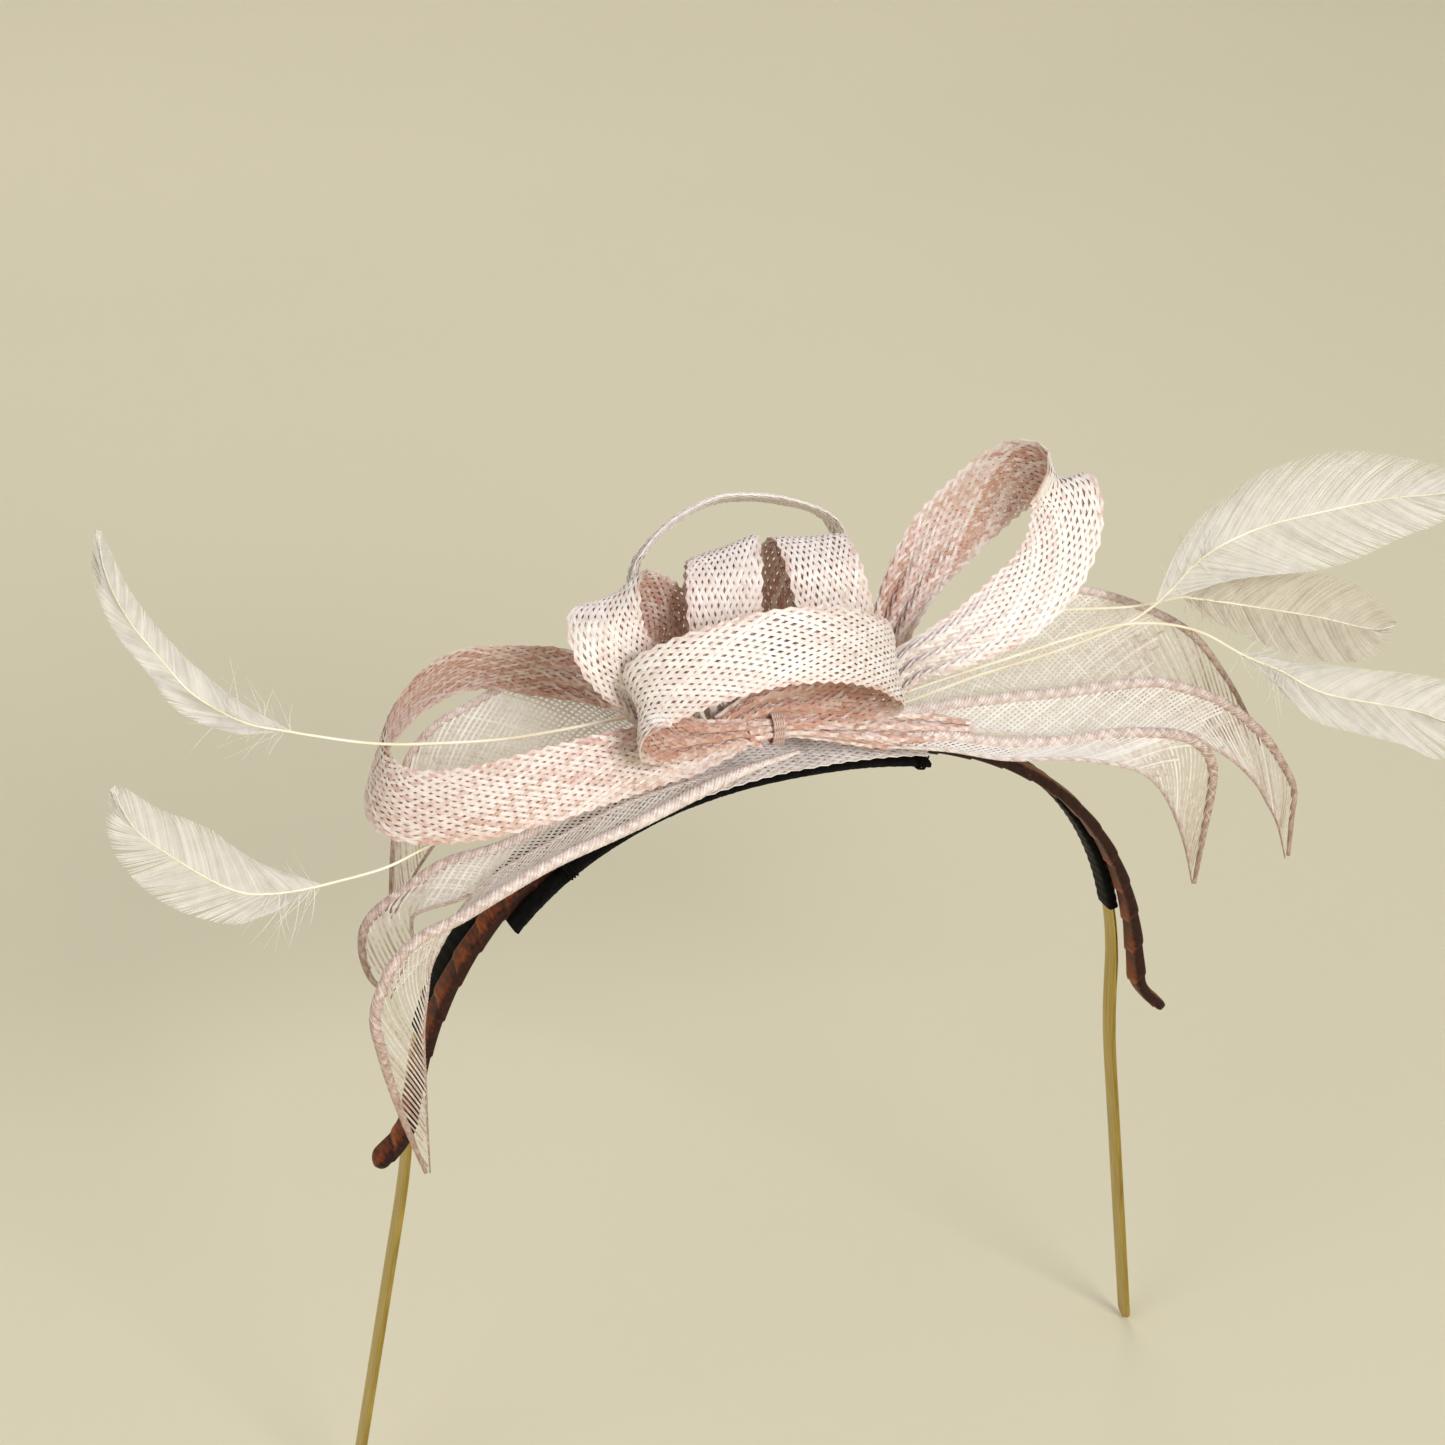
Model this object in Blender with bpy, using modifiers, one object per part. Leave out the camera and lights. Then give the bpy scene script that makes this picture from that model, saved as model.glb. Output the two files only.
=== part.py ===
"""Fascinator headpiece: sinamay bow loops, leaves and feathers sewn to a felt pad on two Alice bands.

Run it with: blender --background --python part.py
Blender works in metres. Lists of points are in millimetres and pass through metres().
The wearer faces -Y, and +Z is up. "left" and "right" in the names are as seen from in front:
left is -X. The origin is the middle of the flat facet under the felt pad, which rests on the head.
"""

import math

import bpy
import bmesh
import numpy as np
from mathutils import Vector

MM = 0.001

# Driving dimensions, in millimetres.
GAP = 0.3  # clearance between pieces that touch
ARCH_SQUARENESS = 2.28  # 2 is an ellipse, more is squarer
ARCH_HALF_WIDTH = 75.8
ARCH_RISE = 74.0
METAL_HALF_WIDTH = 73.8
METAL_RISE = 72.0
HINGE_ANGLE = 52.0  # where the springy arms start, as an angle round the arch
HINGE_GAP_ANGLE = 0.25
ARCH_STEP = 4.0
SEAT_ANGLE = 4.0  # half the flat facet at the crown

PAD_THICKNESS = 1.6
PAD_FRONT, PAD_BACK = -5.0, 9.6
PAD_LEFT_ANGLE, PAD_RIGHT_ANGLE = -50.0, 16.5

WRAP_WIDTH, WRAP_THICKNESS = 5.0, 2.2
CORE_WIDTH, CORE_THICKNESS = 3.4, 0.9
WRAP_END_ANGLE = 76.0
WRAP_EDGE = 0.45  # bevel along the edges of the wraps
CORE_STICK_OUT = 2.0  # how far the core reaches into each tip cap
TIP_FLARE = [(75.4, -58.0), (76.0, -61.0), (77.6, -63.6), (79.6, -65.6)]  # (x, z) of the arm's end
TIP_MIDDLE, TIP_LENGTH = 2.2, 3.4
TIP_EDGE = 0.8
CUTTER_REACH = 3.0  # how far a cutter runs past the faces it opens

METAL_CENTRE_Y = 6.2
METAL_WIDTH, METAL_THICKNESS = 4.4, 1.0
SLEEVE_WIDTH, SLEEVE_THICKNESS = 5.6, 2.2
SLEEVE_END_ANGLE = 74.0
METAL_BEND_ANGLE = 84.0  # the gold band is straight from here down
METAL_STRAIGHT = [(74.6, -76.0), (78.1, -100.0), (81.7, -124.0), (85.6, -150.0)]

BASE_THICKNESS = 1.2
BASE_LIFT = 0.8
BASE_HALF_DEPTH = 10.5
BASE_LEFT_ANGLE, BASE_RIGHT_ANGLE = -25.0, 13.0

RIBBON_WIDTH = 13.0
RIBBON_THICKNESS = 0.9
LEAF_THICKNESS = 0.7
LEAF_BOW = 0.08  # how far a leaf bulges, as a share of its width
VANE_THICKNESS = 0.7
VANE_BOW = 0.06
QUILL_RADIUS = 0.5

CROWN_SAG = ARCH_RISE * (1 - math.cos(math.radians(SEAT_ANGLE)) ** (2 / ARCH_SQUARENESS))
CROWN_Z = PAD_THICKNESS + GAP + WRAP_THICKNESS / 2 + CROWN_SAG

# Routes of the ribbons, in millimetres, from one sewn end round to the other.
LEFT_SIDE_LOOP = [
    (-28, 6, 15), (-40, 12, 19), (-57, 14, 22.5), (-68, 12, 21), (-77, 6, 16.3), (-81, -1, 12),
    (-79, -8, 10.2), (-69, -13.5, 11.2), (-56, -15.5, 13.5), (-44, -14.5, 14.5), (-33, -11.5, 13.8), (-23, -9, 13.5),
]
CURL_LOOP = [
    (-34.5, -9, 23), (-38.5, -10.5, 29), (-42, -10.5, 35), (-42.5, -7.5, 40), (-38.5, -3, 42),
    (-31.5, 0.5, 37), (-27, 2, 30.5), (-26.5, 1.5, 25), (-28, 0.5, 20),
]
ARC_LOOP = [
    (-20, 12, 12), (-24.5, 13, 20), (-28, 13, 30), (-29, 12, 38), (-27, 12, 42), (-21, 14, 45.5),
    (-13, 15, 48), (-4, 16, 47), (5, 18, 43.5), (11, 20, 39.5), (14, 21, 35), (15, 20, 28),
    (12, 17, 18), (7, 14, 11),
]
MIDDLE_LEFT_LOOP = [
    (-19, -6.5, 23), (-19.5, -8, 30), (-20.5, -8.5, 38), (-19.5, -5.5, 44.5), (-17.5, 0, 46),
    (-15.7, 5, 42.5), (-15.2, 6.5, 35), (-15.7, 5.5, 27), (-16.5, 4.5, 20),
]
MIDDLE_RIGHT_LOOP = [
    (4, -6, 21), (3, -8, 28), (0.5, -9, 36), (-1, -6.5, 43), (-0.5, 0, 45.5), (-0.5, 5, 42.5),
    (-1, 6.5, 35), (-1, 6, 27), (0, 5, 19),
]
FRONT_LOOP = [
    (-17, -10.5, 15), (-24, -12, 16), (-32, -14.2, 18.5), (-38, -16.5, 23), (-38.5, -18, 29),
    (-32, -21.5, 34), (-20, -24, 37.5), (-8, -24.5, 37.2), (1.5, -22, 33.5), (7.5, -18.5, 28.5),
    (8.5, -15.5, 24), (4, -12.5, 21), (-3, -10.5, 19),
]
RIGHT_TALL_LOOP = [
    (18, 6, 19), (23, 8, 28), (30, 10, 36), (37, 9.5, 43), (42.5, 6, 49.5), (46.5, 0, 51.5),
    (48, -4.5, 47), (45, -8, 40), (39, -10, 34), (30, -11, 29), (22, -10, 25), (16, -7.5, 21),
]

# Leaf edges from root to tip: the rolled hem first, then the other edge.
LEAVES = {
    "leaf_left_back": (
        [
            (-28, 15, 8), (-37, 19, 14.5), (-47, 20, 16), (-56, 21, 12), (-63, 22, 8), (-68, 22, 2),
            (-70, 21, -5), (-72, 19, -15), (-73, 18, -26.5),
        ],
        [
            (-28, 9, 7), (-36, 9.5, 5.5), (-44, 10.5, 3), (-55, 12, -1), (-64, 12.5, -8),
            (-69, 14, -16), (-71.5, 15.5, -23), (-73, 17.2, -27.2),
        ],
    ),
    "leaf_left_middle": (
        [
            (-38.5, -2, 1), (-44, -1, -1), (-58, 0, -6), (-68, 1, -8), (-75, 2, -12.5), (-82, 1, -16.5),
            (-84, 0, -21), (-83, -1, -27), (-80, -2, -31),
        ],
        [
            (-38.5, -6.5, -0.8), (-49, -6.5, -4.5), (-60, -6, -9.5), (-68, -5.5, -12), (-73.5, -5, -13),
            (-76, -4, -15), (-76, -4, -21), (-78, -3, -27), (-79.6, -2.4, -31.8),
        ],
    ),
    "leaf_left_front": (
        [
            (-20, -14.5, 9), (-39, -15.5, 3), (-54, -16.5, -1), (-64, -17, -5), (-72, -18, -8),
            (-79, -18, -10.5), (-84, -19, -14), (-87, -20, -19), (-88, -20, -24), (-87, -20, -30),
            (-85, -19, -38), (-82, -18, -48), (-78.3, -18, -59),
        ],
        [
            (-20, -11, 8), (-38, -9.5, 4), (-52, -9, -1.5), (-62, -9, -6), (-68, -10, -10),
            (-72, -11, -15), (-75, -11.5, -20.5), (-76, -12, -26), (-77, -13, -33), (-77, -14, -42),
            (-77, -15, -51), (-77.2, -17, -60),
        ],
    ),
    "leaf_right_back": (
        [
            (28, 12, 12), (35, 11.5, 18.5), (46, 13, 22), (63, 17, 19), (78, 18, 13), (91, 18, 5),
            (100, 17, -6), (106, 16, -16), (108.3, 14.5, -21),
        ],
        [
            (28, 8.5, 3.5), (45, 10, 3.2), (60, 11, 0), (73, 12, -4.5), (85, 13, -10), (96, 13, -16.5),
            (104, 13.7, -20.5), (107.5, 14, -21.6),
        ],
    ),
    "leaf_right_long": (
        [
            (21, 0, 8), (40, 0, 7.5), (54, 1, 6), (64, 2, 5.2), (74, 2, 4.4), (81, 2, 2), (89, 2, -2),
            (95, 2, -6.5), (101, 2, -12.5), (105, 2, -18), (108, 1, -24), (108.4, 1, -31),
            (108, 0, -38.6),
        ],
        [
            (21, -5, 7.2), (38, -5, 3), (51, -6, 0), (63, -6, -2), (72, -6, -3.2), (81, -6, -6),
            (88, -6, -10.5), (94, -6, -16.5), (98, -4.5, -22), (102.5, -3, -29), (106.8, -0.8, -38.6),
        ],
    ),
    "leaf_right_short": (
        [
            (20, -13, 9.5), (34, -14, 6), (47, -14.5, 4.6), (55, -15, 4.8), (63, -16, 4.2),
            (70, -16, 2.4), (75, -16, -1), (77.5, -16, -5.5), (77.8, -16, -11), (77.2, -16, -19),
            (76, -16.5, -30),
        ],
        [
            (20, -16, 8), (32, -18, 5), (44, -20, 4), (53, -21.5, 2), (60, -21.5, -1.5),
            (65, -21.5, -7.5), (70, -20.5, -17.5), (74.6, -18, -29),
        ],
    ),
}

# Each feather: the bare quill's route, then the vane's upper and lower edges, all from root to tip.
FEATHERS = {
    "feather_left_upper": (
        [
            (-35, -4, 18), (-57, -5, 18), (-73, -5, 19.5), (-84, -5, 21.5), (-96.6, -4, 25),
        ],
        [
            (-97, -4, 25.8), (-103, -2, 29), (-111, 0, 37), (-116, 2, 43), (-121, 2, 51), (-124, 2, 58),
            (-126, 2, 63.5),
        ],
        [
            (-97, -4, 24.8), (-106, -2, 25.5), (-115, 0, 30), (-119.5, 2, 37), (-125, 2, 46),
            (-128, 2, 56), (-127, 2, 64),
        ],
    ),
    "feather_left_lower": (
        [
            (-47, -2, 1.6), (-60, -4.5, 2), (-72, -6.5, 1), (-82, -8, -1.5), (-93, -8, -2.8),
        ],
        [
            (-93.5, -8, -2.4), (-98, -8, -0.5), (-106, -8, 5), (-113, -8, 12), (-121, -8, 17),
            (-126, -8, 21.5), (-128, -8, 22.6),
        ],
        [
            (-93.5, -8, -3.4), (-104, -8, -7), (-111, -8, -7), (-121, -8, -1), (-128, -8, 8),
            (-130, -8, 16), (-129, -8, 22),
        ],
    ),
    "feather_right_upper": (
        [
            (22, -2, 11.5), (35, 0, 13), (53, 2, 14.5), (67, 2, 18), (72, 2, 20.6),
        ],
        [
            (72.4, 2, 21.4), (75, 2, 27), (78, 2, 35), (86, 2, 42), (96, 2, 46), (112, 2, 47),
            (134, 2, 41), (145, 2, 36.4),
        ],
        [
            (72.8, 2, 20.4), (88, 2, 23.5), (111, 2, 23), (126, 2, 27), (136, 2, 29.5),
            (144.6, 2, 35.4),
        ],
    ),
    "feather_right_middle": (
        [
            (20, 1, 18.5), (38, 5, 21.5), (56, 8, 19.5), (71, 8, 18), (81.6, 8, 18.4),
        ],
        [
            (82, 8, 18.9), (94, 8, 20.5), (109, 8, 19.5), (118, 8, 17), (126, 8, 12), (132, 8, 5.4),
        ],
        [
            (82.4, 8, 17.9), (90, 8, 12), (100, 8, 6), (111, 8, 1), (122, 8, -2), (129, 8, -1),
            (132.2, 8, 4.4),
        ],
    ),
    "feather_right_lower": (
        [
            (20, -4, 14.5), (37, -4, 17.5), (58, -3.5, 20.5), (69, -3.5, 20), (79, -4, 17),
            (87, -5.5, 12.6),
        ],
        [
            (87.4, -6, 12.6), (94, -6, 10), (113, -6, 5), (135, -6, -1), (150, -6, -10),
        ],
        [
            (87, -6, 11.6), (96, -6, 5), (102, -6, -2), (108, -6, -6.5), (127, -6, -14), (138, -6, -19),
            (149.6, -6, -11),
        ],
    ),
}

KNOT_CENTRE = (-10.3, -9.5, 14.5)
KNOT_SIZE = (9.0, 8.0, 11.0)
THREAD_RADIUS = 0.35
TIE_CORNER = 1.0
TIE_SLACK = 0.8  # room for the pad, which follows the slightly lower metal arch
TIE_ANGLES = {"band_tie_left": -36.0, "band_tie_right": 14.4}

COLORS = {
    "sinamay_ribbon": ((0.82, 0.66, 0.60), 0.45, 0.0),
    "sinamay_leaf": ((0.74, 0.60, 0.53), 0.5, 0.0),
    "feather": ((0.90, 0.86, 0.80), 0.6, 0.0),
    "quill": ((0.86, 0.80, 0.62), 0.4, 0.0),
    "brown_ribbon": ((0.10, 0.025, 0.012), 0.4, 0.0),
    "band_steel": ((0.55, 0.55, 0.54), 0.3, 1.0),
    "gold_metal": ((0.63, 0.44, 0.13), 0.25, 1.0),
    "black_satin": ((0.012, 0.012, 0.014), 0.45, 0.0),
    "black_felt": ((0.02, 0.02, 0.022), 0.95, 0.0),
    "pink_thread": ((0.78, 0.60, 0.55), 0.6, 0.0),
}


def clear_scene():
    for obj in list(bpy.data.objects):
        bpy.data.objects.remove(obj, do_unlink=True)


def material(slot):
    """The named material, made on first use."""
    if slot in bpy.data.materials:
        return bpy.data.materials[slot]
    made = bpy.data.materials.new(slot)
    made.use_nodes = True
    color, roughness, metallic = COLORS[slot]
    shader = made.node_tree.nodes["Principled BSDF"]
    shader.inputs["Base Color"].default_value = (*color, 1.0)
    shader.inputs["Roughness"].default_value = roughness
    shader.inputs["Metallic"].default_value = metallic
    made.diffuse_color = (*color, 1.0)
    return made


def collection(name):
    made = bpy.data.collections.new(name)
    bpy.context.scene.collection.children.link(made)
    return made


def metres(points):
    """A list of millimetre values as an array in metres."""
    return np.array(points, float) * MM


def smooth_path(points, per_span=4):
    """Points along a Catmull-Rom curve through the given ones."""
    points = np.asarray(points, float)
    ends = np.vstack([2 * points[0] - points[1], points, 2 * points[-1] - points[-2]])
    steps = np.arange(per_span) / per_span
    found = []
    for i in range(len(points) - 1):
        a, b, c, d = ends[i : i + 4]
        for t in steps:
            square = 2 * a - 5 * b + 4 * c - d
            cube = 3 * b - a - 3 * c + d
            found.append(0.5 * (2 * b + (c - a) * t + square * t**2 + cube * t**3))
    found.append(points[-1])
    return np.array(found)


def evenly_spaced(path, count):
    """The path's shape again, as the given number of points at equal distances along it."""
    lengths = np.r_[0, np.cumsum(np.linalg.norm(np.diff(path, axis=0), axis=1))]
    places = np.linspace(0, lengths[-1], count)
    return np.stack([np.interp(places, lengths, path[:, k]) for k in range(path.shape[1])], axis=1)


def unit(vectors):
    """Each vector made one long."""
    return vectors / np.linalg.norm(vectors, axis=-1, keepdims=True)


def mesh_object(name, bm, slot, home, origin=(0, 0, 0)):
    """Turns a bmesh in world metres into a node whose origin is the given point."""
    bmesh.ops.recalc_face_normals(bm, faces=bm.faces)
    bmesh.ops.translate(bm, vec=-Vector(origin), verts=bm.verts)
    mesh = bpy.data.meshes.new(name)
    bm.to_mesh(mesh)
    bm.free()
    mesh.shade_smooth()
    mesh.set_sharp_from_angle(angle=math.radians(40))
    mesh.materials.append(material(slot))
    obj = bpy.data.objects.new(name, mesh)
    obj.location = origin
    home.objects.link(obj)
    return obj


def loft(name, sections, slot, home, origin=(0, 0, 0)):
    """A closed solid through unlike sections, each a loop of the same number of points."""
    bm = bmesh.new()
    rings = [[bm.verts.new(point) for point in section] for section in sections]
    count = len(rings[0])
    for first, second in zip(rings, rings[1:]):
        for k in range(count):
            after = (k + 1) % count
            bm.faces.new((first[k], first[after], second[after], second[k]))
    bm.faces.new(rings[0])
    bm.faces.new(rings[-1][::-1])
    return mesh_object(name, bm, slot, home, origin)


def ribbon(name, route, across, widths, home, slot="sinamay_ribbon"):
    """A flat ribbon along a route. across gives the direction of its width, and widths the width itself."""
    count = 3 * len(route) + 1
    path = evenly_spaced(smooth_path(metres(route)), count)
    along = unit(np.gradient(path, axis=0))
    places = np.linspace(0, 1, count)
    known = np.linspace(0, 1, len(across))
    wide = np.stack([np.interp(places, known, [v[k] for v in across]) for k in range(3)], axis=1)
    wide = unit(wide - (wide * along).sum(axis=1, keepdims=True) * along)
    thin = np.cross(along, wide)
    half = np.interp(places, np.linspace(0, 1, len(widths)), widths)[:, None] * MM / 2
    inner, outer = path - thin * RIBBON_THICKNESS * MM / 2, path + thin * RIBBON_THICKNESS * MM / 2
    corners = [inner - wide * half, inner + wide * half, outer + wide * half, outer - wide * half]
    return loft(name, np.stack(corners, axis=1), slot, home)


def blade(name, hem, edge, thickness, bow, slot, home, origin=(0, 0, 0), count=22):
    """A thin leaf or feather vane between two edges. Its middle bulges by bow times its width."""
    hem_line = evenly_spaced(smooth_path(metres(hem)), count)
    edge_line = evenly_spaced(smooth_path(metres(edge)), count)
    along = unit(np.gradient((hem_line + edge_line) / 2, axis=0))
    across = edge_line - hem_line
    up = unit(np.cross(along, across))
    middle = (hem_line + edge_line) / 2 + up * np.linalg.norm(across, axis=1)[:, None] * bow
    half = up * thickness * MM / 2
    lower = [hem_line - half, middle - half, edge_line - half]
    upper = [edge_line + half, middle + half, hem_line + half]
    sections = np.stack(lower + upper, axis=1)
    return loft(name, sections, slot, home, origin)


def bevelled_curve(name, points, radius, slot):
    """A curve of straight pieces through the points, with round sides. Returns it and its spline."""
    curve = bpy.data.curves.new(name, "CURVE")
    curve.dimensions = "3D"
    curve.bevel_depth = radius * MM
    curve.bevel_resolution = 1
    spline = curve.splines.new("POLY")
    spline.points.add(len(points) - 1)
    for place, point in zip(spline.points, points):
        place.co = (*point, 1)
    curve.materials.append(material(slot))
    return curve, spline


def wire(name, route, radius, slot, home, origin=(0, 0, 0)):
    """A round wire along a smooth route, as a curve with a bevel and filled caps."""
    points = evenly_spaced(smooth_path(metres(route)), 3 * len(route)) - np.array(origin)
    curve, _ = bevelled_curve(name, points, radius, slot)
    curve.bevel_resolution = 2
    curve.use_fill_caps = True
    obj = bpy.data.objects.new(name, curve)
    obj.location = origin
    home.objects.link(obj)
    return obj


def arch_line(angles, half_width=ARCH_HALF_WIDTH, rise=ARCH_RISE):
    """Points (x, z) in metres on the arch's centreline. Angle 0 is the crown, and -90 is on the -X side."""
    turn = np.radians(np.asarray(angles, float))
    power = 2 / ARCH_SQUARENESS
    x = half_width * np.sign(turn) * np.abs(np.sin(turn)) ** power
    z = CROWN_Z - rise * (1 - np.cos(turn) ** power)
    return np.stack([x, z], axis=1) * MM


def outward(line):
    """The unit normal at each point of an (x, z) line that runs from left to right over the crown."""
    along = unit(np.gradient(line, axis=0))
    return np.stack([-along[:, 1], along[:, 0]], axis=1)


def plate(name, line, low, high, front, back, slot, home, origin=(0, 0, 0)):
    """A curved flat strip: from low to high off its (x, z) line, and from front to back in Y."""
    normals = outward(line)
    lower, upper = line + normals * low * MM, line + normals * high * MM
    sections = [
        [(a[0], front * MM, a[1]), (a[0], back * MM, a[1]), (b[0], back * MM, b[1]), (b[0], front * MM, b[1])]
        for a, b in zip(lower, upper)
    ]
    return loft(name, sections, slot, home, origin)


def cut(obj, cutter):
    """Takes the cutter out of the object and hides the cutter."""
    modifier = obj.modifiers.new("channel", "BOOLEAN")
    modifier.operation = "DIFFERENCE"
    modifier.solver = "EXACT"
    modifier.object = cutter
    cutter.hide_render = True
    cutter.display_type = "WIRE"


def round_edges(obj, width):
    bevel = obj.modifiers.new("rounded", "BEVEL")
    bevel.width = width * MM
    bevel.segments = 1
    bevel.limit_method = "ANGLE"
    bevel.angle_limit = math.radians(50)


def angles_between(first, last):
    """Angles from first to last, about one ARCH_STEP apart."""
    return np.linspace(first, last, max(2, round(abs(last - first) / ARCH_STEP) + 1))


def brown_arm_line(side, extra=0.0):
    """The brown band's arm, past the hinge, with its tip flared away from the head."""
    angles = angles_between(HINGE_ANGLE + HINGE_GAP_ANGLE, WRAP_END_ANGLE)
    line = arch_line(angles)
    line = np.vstack([line, metres(TIP_FLARE)])
    if extra:
        line = np.vstack([line, line[-1] + unit(line[-1] - line[-2]) * extra * MM])
    return mirrored(line, side)


def metal_arm_line(side):
    """The gold band's arm: round the arch, then straight down and a little outwards."""
    angles = angles_between(HINGE_ANGLE + HINGE_GAP_ANGLE, METAL_BEND_ANGLE)
    line = arch_line(angles, METAL_HALF_WIDTH, METAL_RISE)
    return mirrored(np.vstack([line, metres(METAL_STRAIGHT)]), side)


def mirrored(line, side):
    """The right arm's line as given, or the left arm's, run backwards so that its normals stay outward."""
    if side == "right":
        return line
    return (line * np.array([-1, 1]))[::-1]


def crown_line(half_width, rise):
    """The part of the arch between the two hinges."""
    end = HINGE_ANGLE - HINGE_GAP_ANGLE
    return arch_line(angles_between(-end, end), half_width, rise)


def hinge_point(side):
    """Where an arm springs from, and the origin of everything on it."""
    x, z = arch_line([HINGE_ANGLE])[0]
    return (x if side == "right" else -x, 0.0, z)


def longer(line):
    """The line with both ends pushed out, so that a cutter runs past the faces it opens."""
    start = line[0] - unit(line[1] - line[0]) * CUTTER_REACH * MM
    end = line[-1] + unit(line[-1] - line[-2]) * CUTTER_REACH * MM
    return np.vstack([start, line, end])


def strip(name, line, y_centre, size, slot, home, origin=(0, 0, 0)):
    """A plate of the given (width, thickness), centred on its line."""
    width, thickness = size
    low, high = -thickness / 2, thickness / 2
    return plate(name, line, low, high, y_centre - width / 2, y_centre + width / 2, slot, home, origin)


def roomy(size):
    """A (width, thickness) with the clearance added all round."""
    return tuple(length + 2 * GAP for length in size)


def wrap(name, line, y_centre, outer, inner, slot, home, cutters, origin=(0, 0, 0)):
    """A fabric wrap, open at both ends, round a strip of the inner (width, thickness)."""
    made = strip(name, line, y_centre, outer, slot, home, origin)
    round_edges(made, WRAP_EDGE)
    cut(made, strip(name + "_channel", longer(line), y_centre, roomy(inner), slot, cutters, origin))


def brown_band(home, cutters):
    """The ribbon-wrapped band: a steel strip in a brown wrap, split at the hinges, with capped ends."""
    outer, inner = (WRAP_WIDTH, WRAP_THICKNESS), (CORE_WIDTH, CORE_THICKNESS)
    line = crown_line(ARCH_HALF_WIDTH, ARCH_RISE)
    wrap("brown_wrap_crown", line, 0.0, outer, inner, "brown_ribbon", home, cutters)
    strip("band_core_crown", line, 0.0, inner, "band_steel", home)
    for side in ("left", "right"):
        root = hinge_point(side)
        line, core_line = brown_arm_line(side), brown_arm_line(side, CORE_STICK_OUT)
        wrap("brown_wrap_" + side, line, 0.0, outer, inner, "brown_ribbon", home, cutters, root)
        strip("band_core_" + side, core_line, 0.0, inner, "band_steel", home, root)
        tip_cap(side, core_line, home, cutters)


def tip_cap(side, core_line, home, cutters):
    """The rounded end of the brown band, with a socket for the core."""
    wrap_end, core_end = core_line[-2:] if side == "right" else core_line[1::-1]
    direction = unit(core_end - wrap_end)
    start = wrap_end + direction * GAP * MM
    line = np.array([start, start + direction * TIP_MIDDLE * MM, start + direction * TIP_LENGTH * MM])
    socket_line = np.array([wrap_end - direction * CUTTER_REACH * MM, core_end + direction * GAP * MM])
    if side == "left":
        line, socket_line = line[::-1], socket_line[::-1]
    name, root = "band_tip_" + side, hinge_point(side)
    cap = strip(name, line, 0.0, (WRAP_WIDTH, WRAP_THICKNESS), "brown_ribbon", home, root)
    round_edges(cap, TIP_EDGE)
    inner = roomy((CORE_WIDTH, CORE_THICKNESS))
    cut(cap, strip(name + "_socket", socket_line, 0.0, inner, "brown_ribbon", cutters, root))


def gold_band(home, cutters):
    """The thin metal band behind the brown one, in a black sleeve over its upper part."""
    outer, inner = (SLEEVE_WIDTH, SLEEVE_THICKNESS), (METAL_WIDTH, METAL_THICKNESS)
    line = crown_line(METAL_HALF_WIDTH, METAL_RISE)
    wrap("black_sleeve_crown", line, METAL_CENTRE_Y, outer, inner, "black_satin", home, cutters)
    strip("gold_band_crown", line, METAL_CENTRE_Y, inner, "gold_metal", home)
    sleeve_angles = angles_between(HINGE_ANGLE + HINGE_GAP_ANGLE, SLEEVE_END_ANGLE)
    for side in ("left", "right"):
        root = hinge_point(side)
        sleeve = mirrored(arch_line(sleeve_angles, METAL_HALF_WIDTH, METAL_RISE), side)
        wrap("black_sleeve_" + side, sleeve, METAL_CENTRE_Y, outer, inner, "black_satin", home, cutters, root)
        strip("gold_band_" + side, metal_arm_line(side), METAL_CENTRE_Y, inner, "gold_metal", home, root)


def felt_pad(home):
    """The pad between the head and the bands. Its middle facet is the flat seat at the origin."""
    angles = np.r_[
        angles_between(PAD_LEFT_ANGLE, -SEAT_ANGLE),
        angles_between(SEAT_ANGLE, PAD_RIGHT_ANGLE),
    ]
    high = -WRAP_THICKNESS / 2 - GAP
    line = arch_line(angles, METAL_HALF_WIDTH, METAL_RISE)
    plate("felt_pad", line, high - PAD_THICKNESS, high, PAD_FRONT, PAD_BACK, "black_felt", home)


def sinamay_base(home):
    """The flat piece of sinamay that the bow is sewn to."""
    low = WRAP_THICKNESS / 2 + BASE_LIFT
    line = arch_line(angles_between(BASE_LEFT_ANGLE, BASE_RIGHT_ANGLE))
    high = low + BASE_THICKNESS
    plate("sinamay_base", line, low, high, -BASE_HALF_DEPTH, BASE_HALF_DEPTH, "sinamay_ribbon", home)


def bow_loops(home):
    """The bow's loops, gathered narrower where they are sewn."""
    full = RIBBON_WIDTH
    leaning = (0.36, 0.81, -0.45)
    tilted = (0, 0.4, 0.92)
    upright = (0, 0.1, 1)
    ribbon("left_side_loop", LEFT_SIDE_LOOP, [upright, (0, -0.5, 0.86), (0.3, 0, 0.95), (0, 0.35, 0.93), (0, 0.3, 0.95)],
           [7, full, full, full, full, full, full, 12, 7], home)
    ribbon("curl_loop", CURL_LOOP, [(0.85, -0.1, 0.5)], [9, full, full, full, 9], home)
    ribbon("arc_loop", ARC_LOOP, [(0.6, 0.75, 0), leaning, leaning, (0.6, 0.75, -0.2)],
           [7, full, full, full, 7], home)
    ribbon("middle_left_loop", MIDDLE_LEFT_LOOP, [(0.95, -0.1, 0.2), (0.91, -0.21, 0.35), (0.95, 0, 0.2)],
           [10, full, full, full, 10], home)
    ribbon("middle_right_loop", MIDDLE_RIGHT_LOOP, [(0.96, -0.25, 0.02)], [11, full, full, full, 10], home)
    ribbon("front_loop", FRONT_LOOP, [upright, tilted, tilted, tilted, upright],
           [5, 8, full, full, full, full, full, full, 9], home)
    ribbon("right_tall_loop", RIGHT_TALL_LOOP, [(0.55, -0.58, -0.6)], [7, full, full, full, full, 8], home)


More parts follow.
